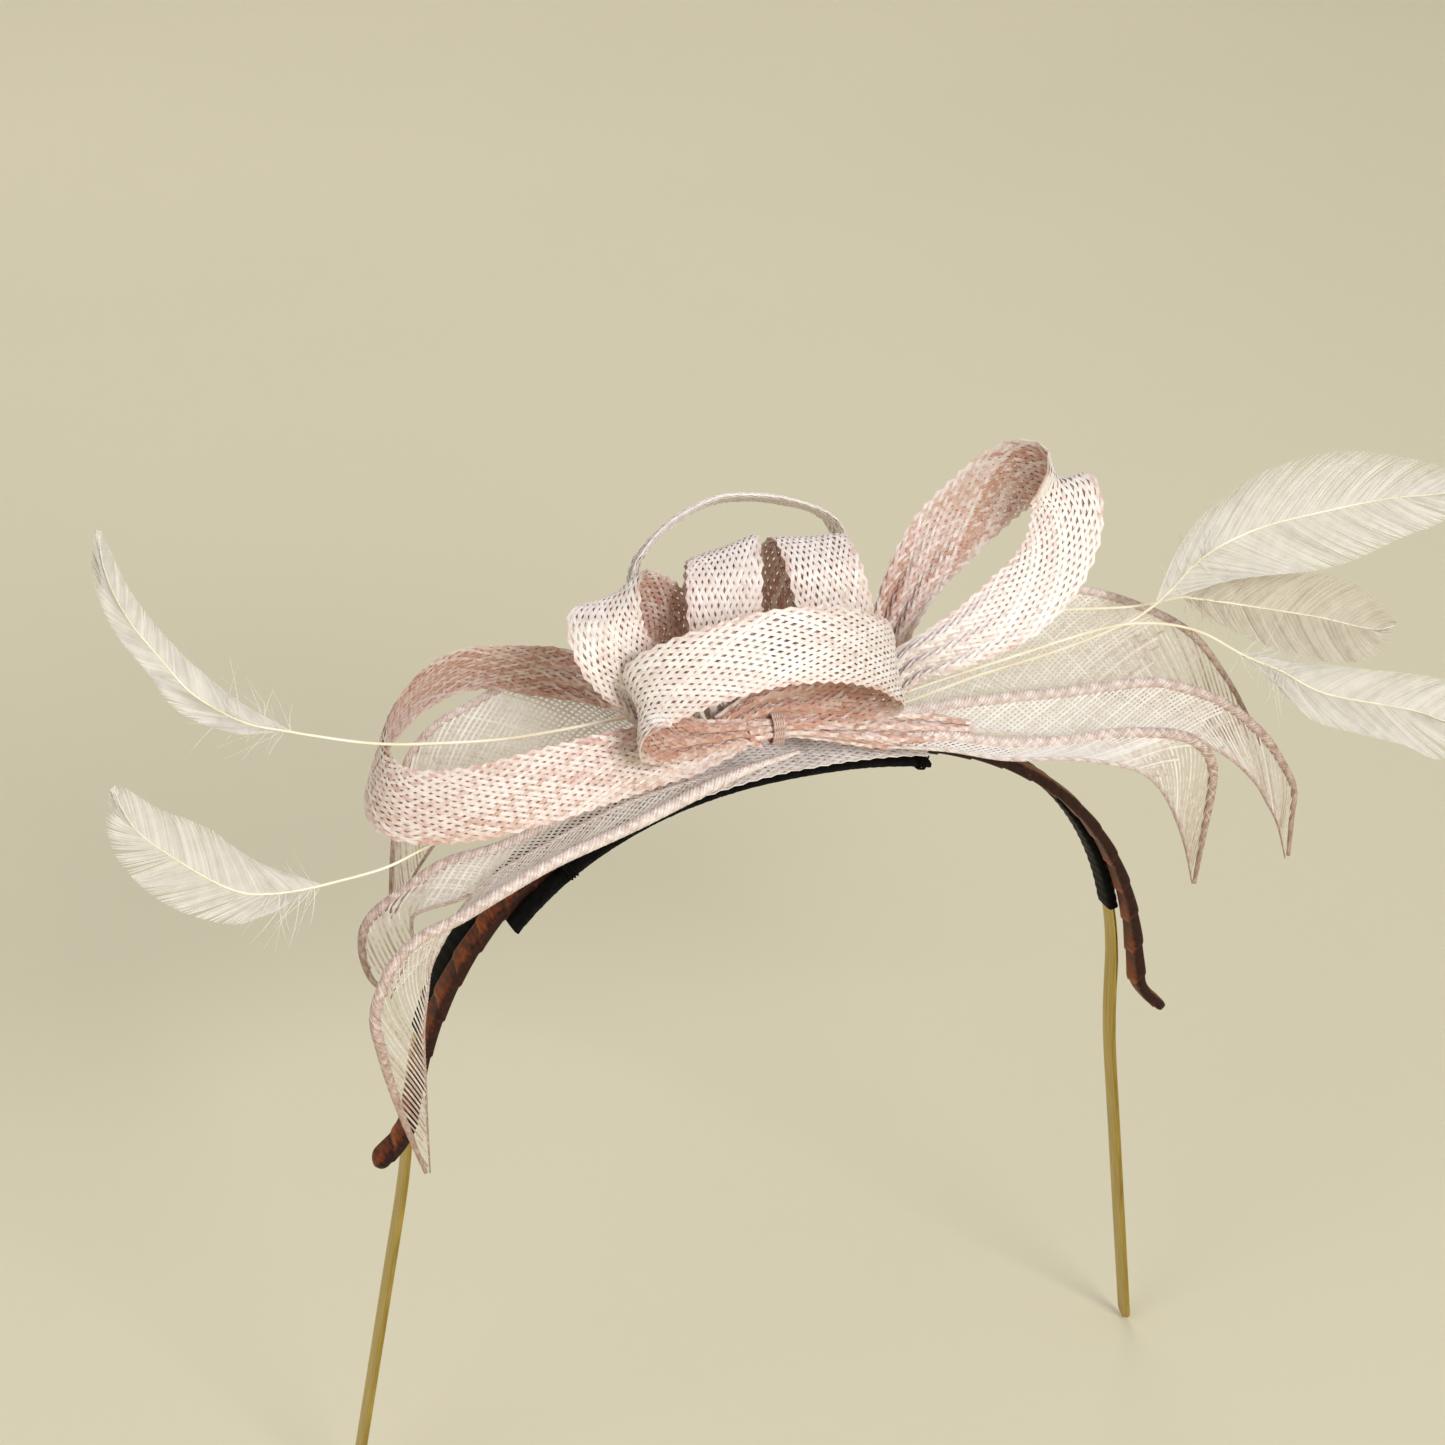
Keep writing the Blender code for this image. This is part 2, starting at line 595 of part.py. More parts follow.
def leaves(home):
    for name, (hem, edge) in LEAVES.items():
        blade(name, hem, edge, LEAF_THICKNESS, LEAF_BOW, "sinamay_leaf", home)


def feathers(home):
    """Each quill and its vane turn on the quill's sewn root."""
    for name, (quill, upper, lower) in FEATHERS.items():
        root = tuple(metres(quill[0]))
        wire(name + "_quill", quill, QUILL_RADIUS, "quill", home, root)
        blade(name + "_vane", upper, lower, VANE_THICKNESS, VANE_BOW, "feather", home, root, count=16)


def centre_knot(home):
    """The gathered middle where the loops' ends are bound."""
    bm = bmesh.new()
    bmesh.ops.create_uvsphere(bm, u_segments=12, v_segments=8, radius=0.5)
    bmesh.ops.scale(bm, vec=metres(KNOT_SIZE), verts=bm.verts)
    bmesh.ops.translate(bm, vec=metres(KNOT_CENTRE), verts=bm.verts)
    mesh_object("centre_knot", bm, "sinamay_ribbon", home)


def closed_thread(name, points, slot, home):
    """A loop of thread through the given points."""
    curve, spline = bevelled_curve(name, points, THREAD_RADIUS, slot)
    spline.use_cyclic_u = True
    home.objects.link(bpy.data.objects.new(name, curve))


def knot_binding(home):
    """The thread wound round the waist of the knot."""
    reach = GAP + THREAD_RADIUS
    centre = metres(KNOT_CENTRE)
    turns = np.linspace(0, 2 * math.pi, 24, endpoint=False)
    half = metres([KNOT_SIZE[0] / 2 + reach, KNOT_SIZE[1] / 2 + reach])
    points = [centre + np.array([half[0] * math.cos(t), half[1] * math.sin(t), 0]) for t in turns]
    closed_thread("knot_binding", points, "pink_thread", home)


def band_ties(home):
    """Threads that tie both bands and the felt pad together, beyond each end of the base."""
    reach = GAP + THREAD_RADIUS
    front, back = PAD_FRONT - reach, PAD_BACK + reach
    high = WRAP_THICKNESS / 2 + reach
    low = -(WRAP_THICKNESS / 2 + GAP + PAD_THICKNESS + TIE_SLACK + reach)
    corner = TIE_CORNER
    corners = [
        (front + corner, high), (back - corner, high), (back, high - corner), (back, low + corner),
        (back - corner, low), (front + corner, low), (front, low + corner), (front, high - corner),
    ]
    for name, angle in TIE_ANGLES.items():
        line = arch_line([angle - 1, angle, angle + 1])
        centre, normal = line[1], outward(line)[1]
        points = []
        for y, off in corners:
            x, z = centre + normal * off * MM
            points.append((x, y * MM, z))
        closed_thread(name, points, "black_satin", home)


def build():
    clear_scene()
    home = collection("fascinator_headpiece")
    cutters = collection("cutters")
    felt_pad(home)
    brown_band(home, cutters)
    gold_band(home, cutters)
    sinamay_base(home)
    bow_loops(home)
    centre_knot(home)
    knot_binding(home)
    band_ties(home)
    leaves(home)
    feathers(home)


build()
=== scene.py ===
"""The looks of the fascinator headpiece: woven sinamay loops and leaves, feathers and wrapped headbands.

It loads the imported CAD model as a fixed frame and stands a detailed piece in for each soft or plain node.
Blender works in metres. Lists of points and named sizes here are in millimetres and pass through metres()
or MM. The routes repeat those of the CAD. The left side loop and the front loop each run one end on into the
gathered middle, and the loops' other ends stop short of it.
"""

import math

import bpy
import numpy as np
from mathutils import Matrix


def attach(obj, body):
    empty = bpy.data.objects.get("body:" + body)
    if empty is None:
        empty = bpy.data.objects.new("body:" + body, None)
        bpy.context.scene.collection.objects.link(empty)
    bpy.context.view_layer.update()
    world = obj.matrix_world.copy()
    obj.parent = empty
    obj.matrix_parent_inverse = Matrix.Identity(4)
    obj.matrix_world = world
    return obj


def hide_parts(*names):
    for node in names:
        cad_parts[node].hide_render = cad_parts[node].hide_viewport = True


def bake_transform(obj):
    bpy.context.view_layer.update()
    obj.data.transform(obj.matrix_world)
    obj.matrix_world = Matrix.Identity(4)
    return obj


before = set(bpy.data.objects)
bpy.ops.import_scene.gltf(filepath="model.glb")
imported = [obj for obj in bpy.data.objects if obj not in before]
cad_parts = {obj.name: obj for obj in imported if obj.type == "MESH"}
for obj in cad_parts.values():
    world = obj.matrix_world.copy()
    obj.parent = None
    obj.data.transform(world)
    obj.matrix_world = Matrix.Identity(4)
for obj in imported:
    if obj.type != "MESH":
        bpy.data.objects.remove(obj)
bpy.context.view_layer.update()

MM = 0.001
SEED = 7

# The camera, at the photograph's viewing angle. Angles are in degrees and lengths in millimetres.
CAMERA_TURN, CAMERA_TILT, CAMERA_ROLL = -24.0, 27.0, 2.3
CAMERA_DISTANCE = 620.0
CAMERA_CROWN = (0, 0, 3.4)  # the point of the crown that it is placed from
CAMERA_ASIDE, CAMERA_ABOVE = 14.636, 5.0  # its line of sight passes this far left of it and above it
LENS, SENSOR = 84.95, 36.0

# The studio's floor, which curves up into a wall, in metres.
FLOOR_Z, FLOOR_RADIUS, WALL_RADIUS = -0.1505, 1.2, 1.4
BACKDROP_COLORS = [(0.3, (0.70, 0.65, 0.485)), (0.7, (0.735, 0.68, 0.51))]

# Each light: its place in metres, its size in metres, its watts and its colour. All face the origin.
LIGHTS = {
    "key": ((0.37, -2.02, 1.20), 1.0, 35.5, (0.965, 0.985, 1.0)),
    "fill": ((-1.2, -0.6, 0.9), 1.1, 5.0, (0.97, 0.98, 1.0)),
    "back": ((0.2, 1.2, 1.1), 1.0, 6.5, (1.0, 0.98, 0.97)),
}
WORLD_COLOR, WORLD_STRENGTH = (1.0, 0.99, 0.98, 1), 0.4

# The bow's ribbons and their weave.
RIBBON_WIDTH = 13.0
THREAD_SPACING = 1.1
THREAD_WIDE, THREAD_THICK = 0.7, 0.2
WEAVE_SLOPE = 0.4  # how far a thread moves across the ribbon for each millimetre along it
WEAVE_LIFT = 0.11  # how far threads pass over and under
LAYER_OFFSET = 0.32  # half the distance between the two layers of the folded strip
PLEATS = 3
# The first is painted shade: threads on a loop's inner side get a darker tone and those on its outer side a
# paler one. The second is each thread's own random tone.
INSIDE_PAINTED_SHADE, THREAD_CONTRAST = 0.24, 0.2  # of tone, between a loop's sides and between threads
PLACE_JITTER = 0.1  # how far a thread strays, as a share of the spacing
RIBBON_CUP = 0.35  # how far a ribbon's middle stands proud of its edges

# Leaves.
LEAF_SPACING = 1.1
LEAF_THREAD_WIDE, LEAF_THREAD_THICK = 0.42, 0.22
LEAF_STEP = 0.9
LEAF_SLOPES, LEAF_CROSS_SLOPES = (0.7, 0.6), (0.7, 1.0)  # at the root and at the tip
LEAF_CROSS_END = 0.7  # the share of a leaf's length where the crossing threads stop
LEAF_BOW = 0.08
HEM_RADIUS, BACK_HEM_RADIUS = 1.1, 0.85
EDGE_RADIUS = 0.4

# Feathers.
BARB_SPACING = 0.3
BARB_WIDE, BARB_THICK = 0.34, 0.05
QUILL_RADIUS, QUILL_MIDDLE_RADIUS = 0.32, 0.28
RACHIS_POINTS = 120
RACHIS_TIP_RADIUS = 0.1

# The bands, as in the CAD.
ARCH_SQUARENESS = 2.28
ARCH_HALF_WIDTH, ARCH_RISE = 75.8, 74.0
METAL_HALF_WIDTH, METAL_RISE = 73.8, 72.0
CROWN_Z = 3.158
HINGE_ANGLE = 52.0
WRAP_WIDTH, WRAP_THICKNESS = 5.0, 2.2
WRAP_END_ANGLE = 76.0
WRAP_PITCH = 7.5
TIP_FLARE = [(75.4, -58.0), (76.0, -61.0), (77.6, -63.6), (79.6, -65.6), (82.2, -68.2)]
METAL_CENTRE_Y = 6.2
METAL_WIDTH, METAL_THICKNESS = 4.4, 1.0
METAL_BEND_ANGLE = 84.0
METAL_STRAIGHT = [(74.6, -76.0), (78.1, -100.0), (81.7, -124.0), (85.6, -150.0)]
SLEEVE_WIDTH, SLEEVE_THICKNESS = 5.6, 2.2
SLEEVE_END_ANGLE = 74.0
SLEEVE_PITCH = 0.55
PAD_THICKNESS, PAD_FRONT, PAD_BACK = 1.6, -5.0, 9.6
PAD_LEFT_ANGLE, PAD_RIGHT_ANGLE = -50.0, 16.5
BASE_LEFT_ANGLE, BASE_RIGHT_ANGLE = -25.0, 13.0
BASE_LIFT, BASE_HALF_DEPTH = 2.4, 10.5
TIE_SLACK = 0.3  # how far the ties hang below the pad
TIE_ANGLES = {"band_tie_left": -36.0, "band_tie_right": 14.4}

# Each loop: its route, the direction of its width along the way, and its width along the way.
UPRIGHT, TILTED, LEANING = (0, 0.1, 1), (0, 0.4, 0.92), (0.36, 0.81, -0.45)
LOOPS = {
    "left_side_loop": (
        [
            (-22, 5, 8), (-28, 6, 15), (-40, 12, 19), (-57, 14, 22.5), (-68, 12, 21),
            (-77, 6, 16.3), (-81, -1, 12),
            (-79, -8, 10.2), (-69, -13.5, 11.2), (-56, -15.5, 13.5), (-44, -14.5, 14.5), (-33, -11.5, 13.8),
            (-23, -10, 13.5), (-11.5, -9.3, 14.3),
        ],
        [UPRIGHT, (0, -0.5, 0.86), (0.3, 0, 0.95), (0, 0.35, 0.93), (0, 0.3, 0.95)],
        [4, 9, 13, 13, 13, 13, 13, 13, 12, 10, 3],
    ),
    "curl_loop": (
        [
            (-27, -5, 11), (-34.5, -9, 23), (-38.5, -10.5, 29), (-42, -10.5, 35), (-42.5, -7.5, 40),
            (-38.5, -3, 42), (-31.5, 0.5, 37), (-27, 2, 30.5), (-26.5, 1.5, 25), (-28, 0.5, 20),
            (-23, 0, 9),
        ],
        [(0.85, -0.1, 0.5)],
        [4, 9, 13, 13, 13, 9, 4],
    ),
    "arc_loop": (
        [
            (-17, 8, 7), (-20, 12, 12), (-24.5, 13, 20), (-28, 13, 30), (-29, 12, 38), (-27, 12, 42),
            (-21, 14, 45.5), (-13, 15, 48), (-4, 16, 47), (5, 18, 43.5), (11, 20, 39.5), (14, 21, 35),
            (15, 20, 28), (12, 17, 18), (7, 14, 11), (3, 8, 8),
        ],
        [(0.6, 0.75, 0), LEANING, LEANING, (0.6, 0.75, -0.2)],
        [4, 7, 13, 13, 13, 7, 4],
    ),
    "middle_left_loop": (
        [
            (-15, -5, 9), (-19, -6.5, 23), (-19.5, -8, 30), (-20.5, -8.5, 38), (-19.5, -5.5, 44.5),
            (-17.5, 0, 46),
            (-15.7, 5, 42.5), (-15.2, 6.5, 35), (-15.7, 5.5, 27), (-16.5, 4.5, 20), (-14, 3, 8),
        ],
        [(0.95, -0.1, 0.2), (0.91, -0.21, 0.35), (0.95, 0, 0.2)],
        [4, 9, 13, 13, 13, 10, 4],
    ),
    "middle_right_loop": (
        [
            (-2, -5, 9), (4, -6, 21), (3, -8, 28), (0.5, -9, 36), (-1, -6.5, 43), (-0.5, 0, 45.5),
            (-0.5, 5, 42.5),
            (-1, 6.5, 35), (-1, 6, 27), (0, 5, 19), (-1, 3, 8),
        ],
        [(0.96, -0.25, 0.02)],
        [4, 10, 13, 13, 13, 10, 4],
    ),
    "front_loop": (
        [
            (-13, -10.5, 13), (-17, -10.5, 15), (-24, -12, 16), (-32, -14.2, 18.5), (-38, -16.5, 23),
            (-38.5, -18, 29), (-32, -21.5, 34), (-20, -24, 37.5), (-8, -24.5, 37.2), (1.5, -22, 33.5),
            (7.5, -18.5, 28.5), (8.5, -15.5, 24), (4, -12.5, 21), (-3, -10.5, 19), (-12, -9, 18.5),
            (-21, -9.5, 16),
        ],
        [UPRIGHT, TILTED, TILTED, TILTED, UPRIGHT],
        [3, 6, 13, 13, 13, 13, 13, 13, 9.5, 4],
    ),
    "right_tall_loop": (
        [
            (10, 4, 9), (18, 6, 19), (23, 8, 28), (30, 10, 36), (37, 9.5, 43), (42.5, 6, 49.5),
            (46.5, 0, 51.5),
            (48, -4.5, 47), (45, -8, 40), (39, -10, 34), (30, -11, 29), (22, -10, 25),
            (16, -7.5, 21), (9, -5, 10),
        ],
        [(0.55, -0.58, -0.6)],
        [4, 8, 13, 13, 13, 13, 8, 4],
    ),
}

# Loops whose painted light and shade aren't the usual ones.
# Each loop's tone, which is painted light and shade for the whole loop, and the painted shade on its inner
# side, tuned to the photograph loop by loop.
LOOP_PAINTED_SHADING = {"arc_loop": (0.8, 0.05), "left_side_loop": (0.34, 0.1), "front_loop": (0.42, 0.34)}

# The strip pinched by the binding thread, which the loops' ends run into.
KNOT_ROUTE = [
    (-16, -10, 14.2), (-10.3, -9.8, 14.2), (-3, -10.5, 13.6), (6, -11.5, 12.3), (17, -12.3, 10.6),
    (28, -12.5, 8.8),
]
KNOT_WIDTHS = [4, 3, 5, 7, 6, 3]
KNOT_CENTRE = (-10.3, -9.8, 14.5)

# Leaf edges from root to tip: the rolled hem first, then the other edge.
# Many of these points are traced outlines and not chosen by hand.
LEAVES = {
    "leaf_left_back": (
        [
            (-20, 9, 6), (-28, 15, 8), (-37, 19, 14.5), (-47, 20, 16), (-56, 21, 12), (-63, 22, 8),
            (-68, 22, 2),
            (-70, 21, -5), (-72, 19, -15), (-73, 18, -26.5),
        ],
        [
            (-20, 7, 5), (-28, 9, 7), (-36, 9.5, 5.5), (-44, 10.5, 3), (-55, 12, -1), (-64, 12.5, -8),
            (-69, 14, -16), (-71.5, 15.5, -23), (-73, 17.2, -27.2),
        ],
    ),
    "leaf_left_middle": (
        [
            (-29, -2, 4.5), (-38.5, -2, 1), (-44, -1, -1), (-58, 0, -6), (-68, 1, -8), (-75, 2, -12.5),
            (-82, 1, -16.5), (-84, 0, -21), (-83, -1, -27), (-80, -2, -31),
        ],
        [
            (-29, -5, 4), (-38.5, -6.5, -0.8), (-49, -6.5, -4.5), (-60, -6, -9.5), (-68, -5.5, -12),
            (-73.5, -5, -13), (-76, -4, -15), (-76, -4, -21), (-78, -3, -27), (-79.6, -2.4, -31.8),
        ],
    ),
    "leaf_left_front": (
        [
            (-6, -11, 9.5), (-20, -14.5, 9), (-39, -15.5, 3), (-54, -16.5, -1), (-64, -17, -5),
            (-72, -18, -8),
            (-79, -18, -10.5), (-84, -19, -14), (-87, -20, -19), (-88, -20, -24), (-87, -20, -30),
            (-85, -19, -38), (-82, -18, -48), (-78.3, -18, -59),
        ],
        [
            (-6, -9, 9), (-20, -11, 8), (-38, -9.5, 4), (-52, -9, -1.5), (-62, -9, -6), (-68, -10, -10),
            (-72, -11, -15), (-75, -11.5, -20.5), (-76, -12, -26), (-77, -13, -33), (-77, -14, -42),
            (-77, -15, -51), (-77.2, -17, -60),
        ],
    ),
    "leaf_right_back": (
        [
            (16, 6, 8), (28, 12, 12), (35, 11.5, 18.5), (46, 13, 22), (63, 17, 19), (78, 18, 13),
            (91, 18, 5),
            (100, 17, -6), (106, 16, -16), (108.3, 14.5, -21),
        ],
        [
            (16, 5, 5.5), (28, 8.5, 3.5), (45, 10, 3.2), (60, 11, 0), (73, 12, -4.5), (85, 13, -10),
            (96, 13, -16.5),
            (104, 13.7, -20.5), (107.5, 14, -21.6),
        ],
    ),
    "leaf_right_long": (
        [
            (10, -2, 9), (21, 0, 8), (40, 0, 7.5), (54, 1, 6), (64, 2, 5.2), (74, 2, 4.4),
            (81, 2, 2), (89, 2, -2),
            (95, 2, -6.5), (101, 2, -12.5), (105, 2, -18), (108, 1, -24), (108.4, 1, -31), (108, 0, -38.6),
        ],
        [
            (10, -4, 8), (21, -5, 7.2), (38, -5, 3), (51, -6, 0), (63, -6, -2), (72, -6, -3.2),
            (81, -6, -6),
            (88, -6, -10.5), (94, -6, -16.5), (98, -4.5, -22), (102.5, -3, -29), (106.8, -0.8, -38.6),
        ],
    ),
    "leaf_right_short": (
        [
            (6, -10, 9.5), (20, -13, 9.5), (34, -14, 6), (47, -14.5, 4.6), (55, -15, 4.8), (63, -16, 4.2),
            (70, -16, 2.4), (75, -16, -1), (77.5, -16, -5.5), (77.8, -16, -11), (77.2, -16, -19),
            (76, -16.5, -30),
        ],
        [
            (6, -11, 8.5), (20, -16, 8), (32, -18, 5), (44, -20, 4), (53, -21.5, 2), (60, -21.5, -1.5),
            (65, -21.5, -7.5), (70, -20.5, -17.5), (74.6, -18, -29),
        ],
    ),
}

# Each feather: the bare quill's route, then the vane's upper and lower edges, all from root to tip.
# Many of these points are traced outlines too.
FEATHERS = {
    "feather_left_upper": (
        [(-24, -3, 17), (-35, -4, 18), (-57, -5, 18), (-73, -5, 19.5), (-84, -5, 21.5), (-97, -4, 25.2)],
        [
            (-97, -4, 25.8), (-103, -2, 29), (-111, 0, 37), (-116, 2, 43), (-121, 2, 51), (-124, 2, 58),
            (-126, 2, 63.5),
        ],
        [
            (-97, -4, 24.8), (-106, -2, 25.5), (-115, 0, 30), (-119.5, 2, 37), (-125, 2, 46), (-128, 2, 56),
            (-127, 2, 64),
        ],
    ),
    "feather_left_lower": (
        [(-37, -1, 4), (-47, -2, 1.6), (-60, -4.5, 2), (-72, -6.5, 1), (-82, -8, -1.5), (-93.5, -8, -2.9)],
        [
            (-93.5, -8, -2.4), (-98, -8, -0.5), (-106, -8, 5), (-113, -8, 12), (-121, -8, 17),
            (-126, -8, 21.5),
            (-128, -8, 22.6),
        ],
        [
            (-93.5, -8, -3.4), (-104, -8, -7), (-111, -8, -7), (-121, -8, -1), (-128, -8, 8),
            (-130, -8, 16),
            (-129, -8, 22),
        ],
    ),
    "feather_right_upper": (
        [(12, -3, 10.5), (22, -2, 11.5), (35, 0, 13), (53, 2, 14.5), (67, 2, 18), (72.6, 2, 20.9)],
        [
            (72.4, 2, 21.4), (75, 2, 27), (78, 2, 35), (86, 2, 42), (96, 2, 46), (112, 2, 47), (134, 2, 41),
            (145, 2, 36.4),
        ],
        [(72.8, 2, 20.4), (88, 2, 23.5), (111, 2, 23), (126, 2, 27), (136, 2, 29.5), (144.6, 2, 35.4)],
    ),
    "feather_right_middle": (
        [(11, 0, 16), (20, 1, 18.5), (38, 5, 21.5), (56, 8, 19.5), (71, 8, 18), (82.2, 8, 18.4)],
        [(82, 8, 18.9), (94, 8, 20.5), (109, 8, 19.5), (118, 8, 17), (126, 8, 12), (132, 8, 5.4)],
        [
            (82.4, 8, 17.9), (90, 8, 12), (100, 8, 6), (111, 8, 1), (122, 8, -2), (129, 8, -1),
            (132.2, 8, 4.4),
        ],
    ),
    "feather_right_lower": (
        [(11, -4, 12), (20, -4, 14.5), (37, -4, 17.5), (58, -3.5, 20.5), (69, -3.5, 20),
         (79, -4, 17), (87.2, -6, 12.1)],
        [(87.4, -6, 12.6), (94, -6, 10), (113, -6, 5), (135, -6, -1), (150, -6, -10)],
        [
            (87, -6, 11.6), (96, -6, 5), (102, -6, -2), (108, -6, -6.5), (127, -6, -14), (138, -6, -19),
            (149.6, -6, -11),
        ],
    ),
}


# ---- points and lines, all in metres


def metres(points):
    return np.array(points, float) * MM


def unit(vectors):
    return vectors / np.linalg.norm(vectors, axis=-1, keepdims=True)


def smooth_path(points, per_span=8):
    """Points along a Catmull-Rom curve through the given ones."""
    ends = np.vstack([2 * points[0] - points[1], points, 2 * points[-1] - points[-2]])
    found = []
    for i in range(len(points) - 1):
        a, b, c, d = ends[i : i + 4]
        square = 2 * a - 5 * b + 4 * c - d
        cube = 3 * b - a - 3 * c + d
        for t in np.arange(per_span) / per_span:
            found.append(0.5 * (2 * b + (c - a) * t + square * t**2 + cube * t**3))
    found.append(points[-1])
    return np.array(found)


def lengths_along(path):
    return np.r_[0, np.cumsum(np.linalg.norm(np.diff(path, axis=0), axis=1))]


def sample(table, values, at):
    """The rows of a table whose own places are values, read off at other places."""
    return np.stack([np.interp(at, values, table[:, k]) for k in range(table.shape[1])], axis=-1)


def evenly_spaced(path, count):
    lengths = lengths_along(path)
    return sample(path, lengths, np.linspace(0, lengths[-1], count))


def arch_line(angles, half_width=ARCH_HALF_WIDTH, rise=ARCH_RISE):
    """Points (x, z) on a band's centreline. Angle 0 is the crown, and -90 is on the -X side."""
    turn = np.radians(np.asarray(angles, float))
    power = 2 / ARCH_SQUARENESS
    x = half_width * np.sign(turn) * np.abs(np.sin(turn)) ** power
    z = CROWN_Z - rise * (1 - np.cos(turn) ** power)
    return np.stack([x, z], axis=1) * MM


def outward(line):
    """The unit normal at each point of an (x, z) line that runs from left to right over the crown."""
    along = unit(np.gradient(line, axis=0))
    return np.stack([-along[:, 1], along[:, 0]], axis=1)


# ---- meshes


def quads_between(index):
    """Faces joining each row of a grid of point numbers to the next, closed round each row."""
    after = np.roll(index, -1, axis=1)
    return np.stack([index[:-1], after[:-1], after[1:], index[1:]], axis=-1).reshape(-1, 4)


class Shape:
    """Collects the points and faces of one mesh, with a tone from 0 to 1 for each point."""

    def __init__(self):
        self.points, self.faces, self.tones, self.count = [], [], [], 0

    def add(self, points, faces, tone):
        self.points.append(points)
        self.faces += [rows + self.count for rows in faces]
        self.tones.append(np.broadcast_to(tone, len(points)))
        self.count += len(points)

    def grid(self, rings, tone, closed=False):
        """Joins rings (n, k, 3) into a tube, capped unless it closes on itself.

        tone can be one per ring.
        """
        n, k = rings.shape[:2]
        tone = np.repeat(np.broadcast_to(tone, n), k)
        index = np.arange(n * k).reshape(n, k)
        if closed:
            index = np.vstack([index, index[:1]])
        quads = quads_between(index)
        faces = [quads] if closed else [quads, index[:1, ::-1], index[-1:]]
        self.add(rings.reshape(-1, 3), faces, tone)

    def tube(self, path, across, wide, thick, tone, sides=6, closed=False):
        """A tube along a path. wide is its size along across, and thick the other way."""
        if closed:
            along = unit(np.roll(path, -1, axis=0) - np.roll(path, 1, axis=0))
        else:
            along = unit(np.gradient(path, axis=0))
        across = unit(across - (across * along).sum(axis=1, keepdims=True) * along)
        other = np.cross(along, across)
        turns = np.arange(sides) * 2 * math.pi / sides
        wide, thick = np.broadcast_to(wide, len(path)), np.broadcast_to(thick, len(path))
        rings = (
            path[:, None]
            + across[:, None] * (np.cos(turns) * wide[:, None] / 2)[..., None]
            + other[:, None] * (np.sin(turns) * thick[:, None] / 2)[..., None]
        )
        self.grid(rings, tone, closed)

    def piece(self, name, look, body, slot, *nodes):
        """Makes the object, which rides on the body and stands for the nodes."""
        points = np.concatenate(self.points)
        loops = np.concatenate([rows.ravel() for rows in self.faces]).astype(np.int32)
        sizes = np.concatenate([np.full(len(rows), rows.shape[1]) for rows in self.faces]).astype(np.int32)
        mesh = bpy.data.meshes.new(name)
        mesh.vertices.add(len(points))
        mesh.vertices.foreach_set("co", points.ravel().astype(np.float32))
        mesh.loops.add(len(loops))
        mesh.loops.foreach_set("vertex_index", loops)
        mesh.polygons.add(len(sizes))
        mesh.polygons.foreach_set("loop_start", np.r_[0, np.cumsum(sizes)[:-1]].astype(np.int32))
        mesh.polygons.foreach_set("loop_total", sizes)
        mesh.update(calc_edges=True)
        mesh.shade_smooth()
        mesh.set_sharp_from_angle(angle=math.radians(75))
        tones = mesh.attributes.new("tone", "FLOAT", "POINT")
        tones.data.foreach_set("value", np.concatenate(self.tones).astype(np.float32))
        mesh.materials.append(look)
        obj = bpy.data.objects.new(name, mesh)
        bpy.context.scene.collection.objects.link(obj)
        if body:
            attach(obj, body)
        if nodes:
            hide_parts(*nodes)
        return obj


def band_rings(line, y_centre, width, thickness, sides, swell=0.0):
    """Rings of a flat band with rounded edges along an (x, z) line. swell (n, sides) is added thickness."""
    normals = outward(line)
    turns = np.arange(sides) * 2 * math.pi / sides
    squared = 0.45
    round_y = np.sign(np.cos(turns)) * np.abs(np.cos(turns)) ** squared
    round_h = np.sign(np.sin(turns)) * np.abs(np.sin(turns)) ** squared
    y = (y_centre + round_y * (width / 2 + swell)) * MM
    h = round_h * (thickness / 2 + swell) * MM
    y, h = np.broadcast_to(y, (len(line), sides)), np.broadcast_to(h, (len(line), sides))
    x = line[:, :1] + normals[:, :1] * h
    z = line[:, 1:] + normals[:, 1:] * h
    return np.stack([x, y, z], axis=-1)


# ---- woven sinamay


class Strip:
    """A ribbon's middle surface: a smooth path, the direction of its width, and its width along the way."""

    def __init__(self, route, across, widths, full=RIBBON_WIDTH):
        self.path = evenly_spaced(smooth_path(metres(route)), 240)
        self.places = lengths_along(self.path)
        self.length = self.places[-1]
        share = self.places / self.length
        along = unit(np.gradient(self.path, axis=0))
        wide = sample(np.array(across, float), np.linspace(0, 1, len(across)), share)
        self.across = unit(wide - (wide * along).sum(axis=1, keepdims=True) * along)
        self.normal = np.cross(along, self.across)
        self.half = np.interp(share, np.linspace(0, 1, len(widths)), widths) * MM / 2
        flat, drawn = full * MM / (2 * PLEATS), 2 * self.half / (2 * PLEATS)
        self.pleat = 0.42 * np.sqrt(np.maximum(flat**2 - drawn**2, 0))
        # How far each point's normal faces into the loop. This sets where the painted shade of the inner
        # side falls.
        to_centre = unit(self.path.mean(axis=0) - self.path)
        self.inward = np.clip(2 * (to_centre * self.normal).sum(axis=1), -1, 1)

    def at(self, along, v, lift):
        """The point that far along, at v from -1 to 1 across, lifted off the surface."""
        path, across = sample(self.path, self.places, along), sample(self.across, self.places, along)
        normal = sample(self.normal, self.places, along)
        half, pleat = np.interp(along, self.places, self.half), np.interp(along, self.places, self.pleat)
        cup = RIBBON_CUP * MM * (1 - v**2)
        height = lift + cup + pleat * np.sin(v * math.pi * PLEATS)
        return path + across * (v * half)[:, None] + normal * height[:, None], normal


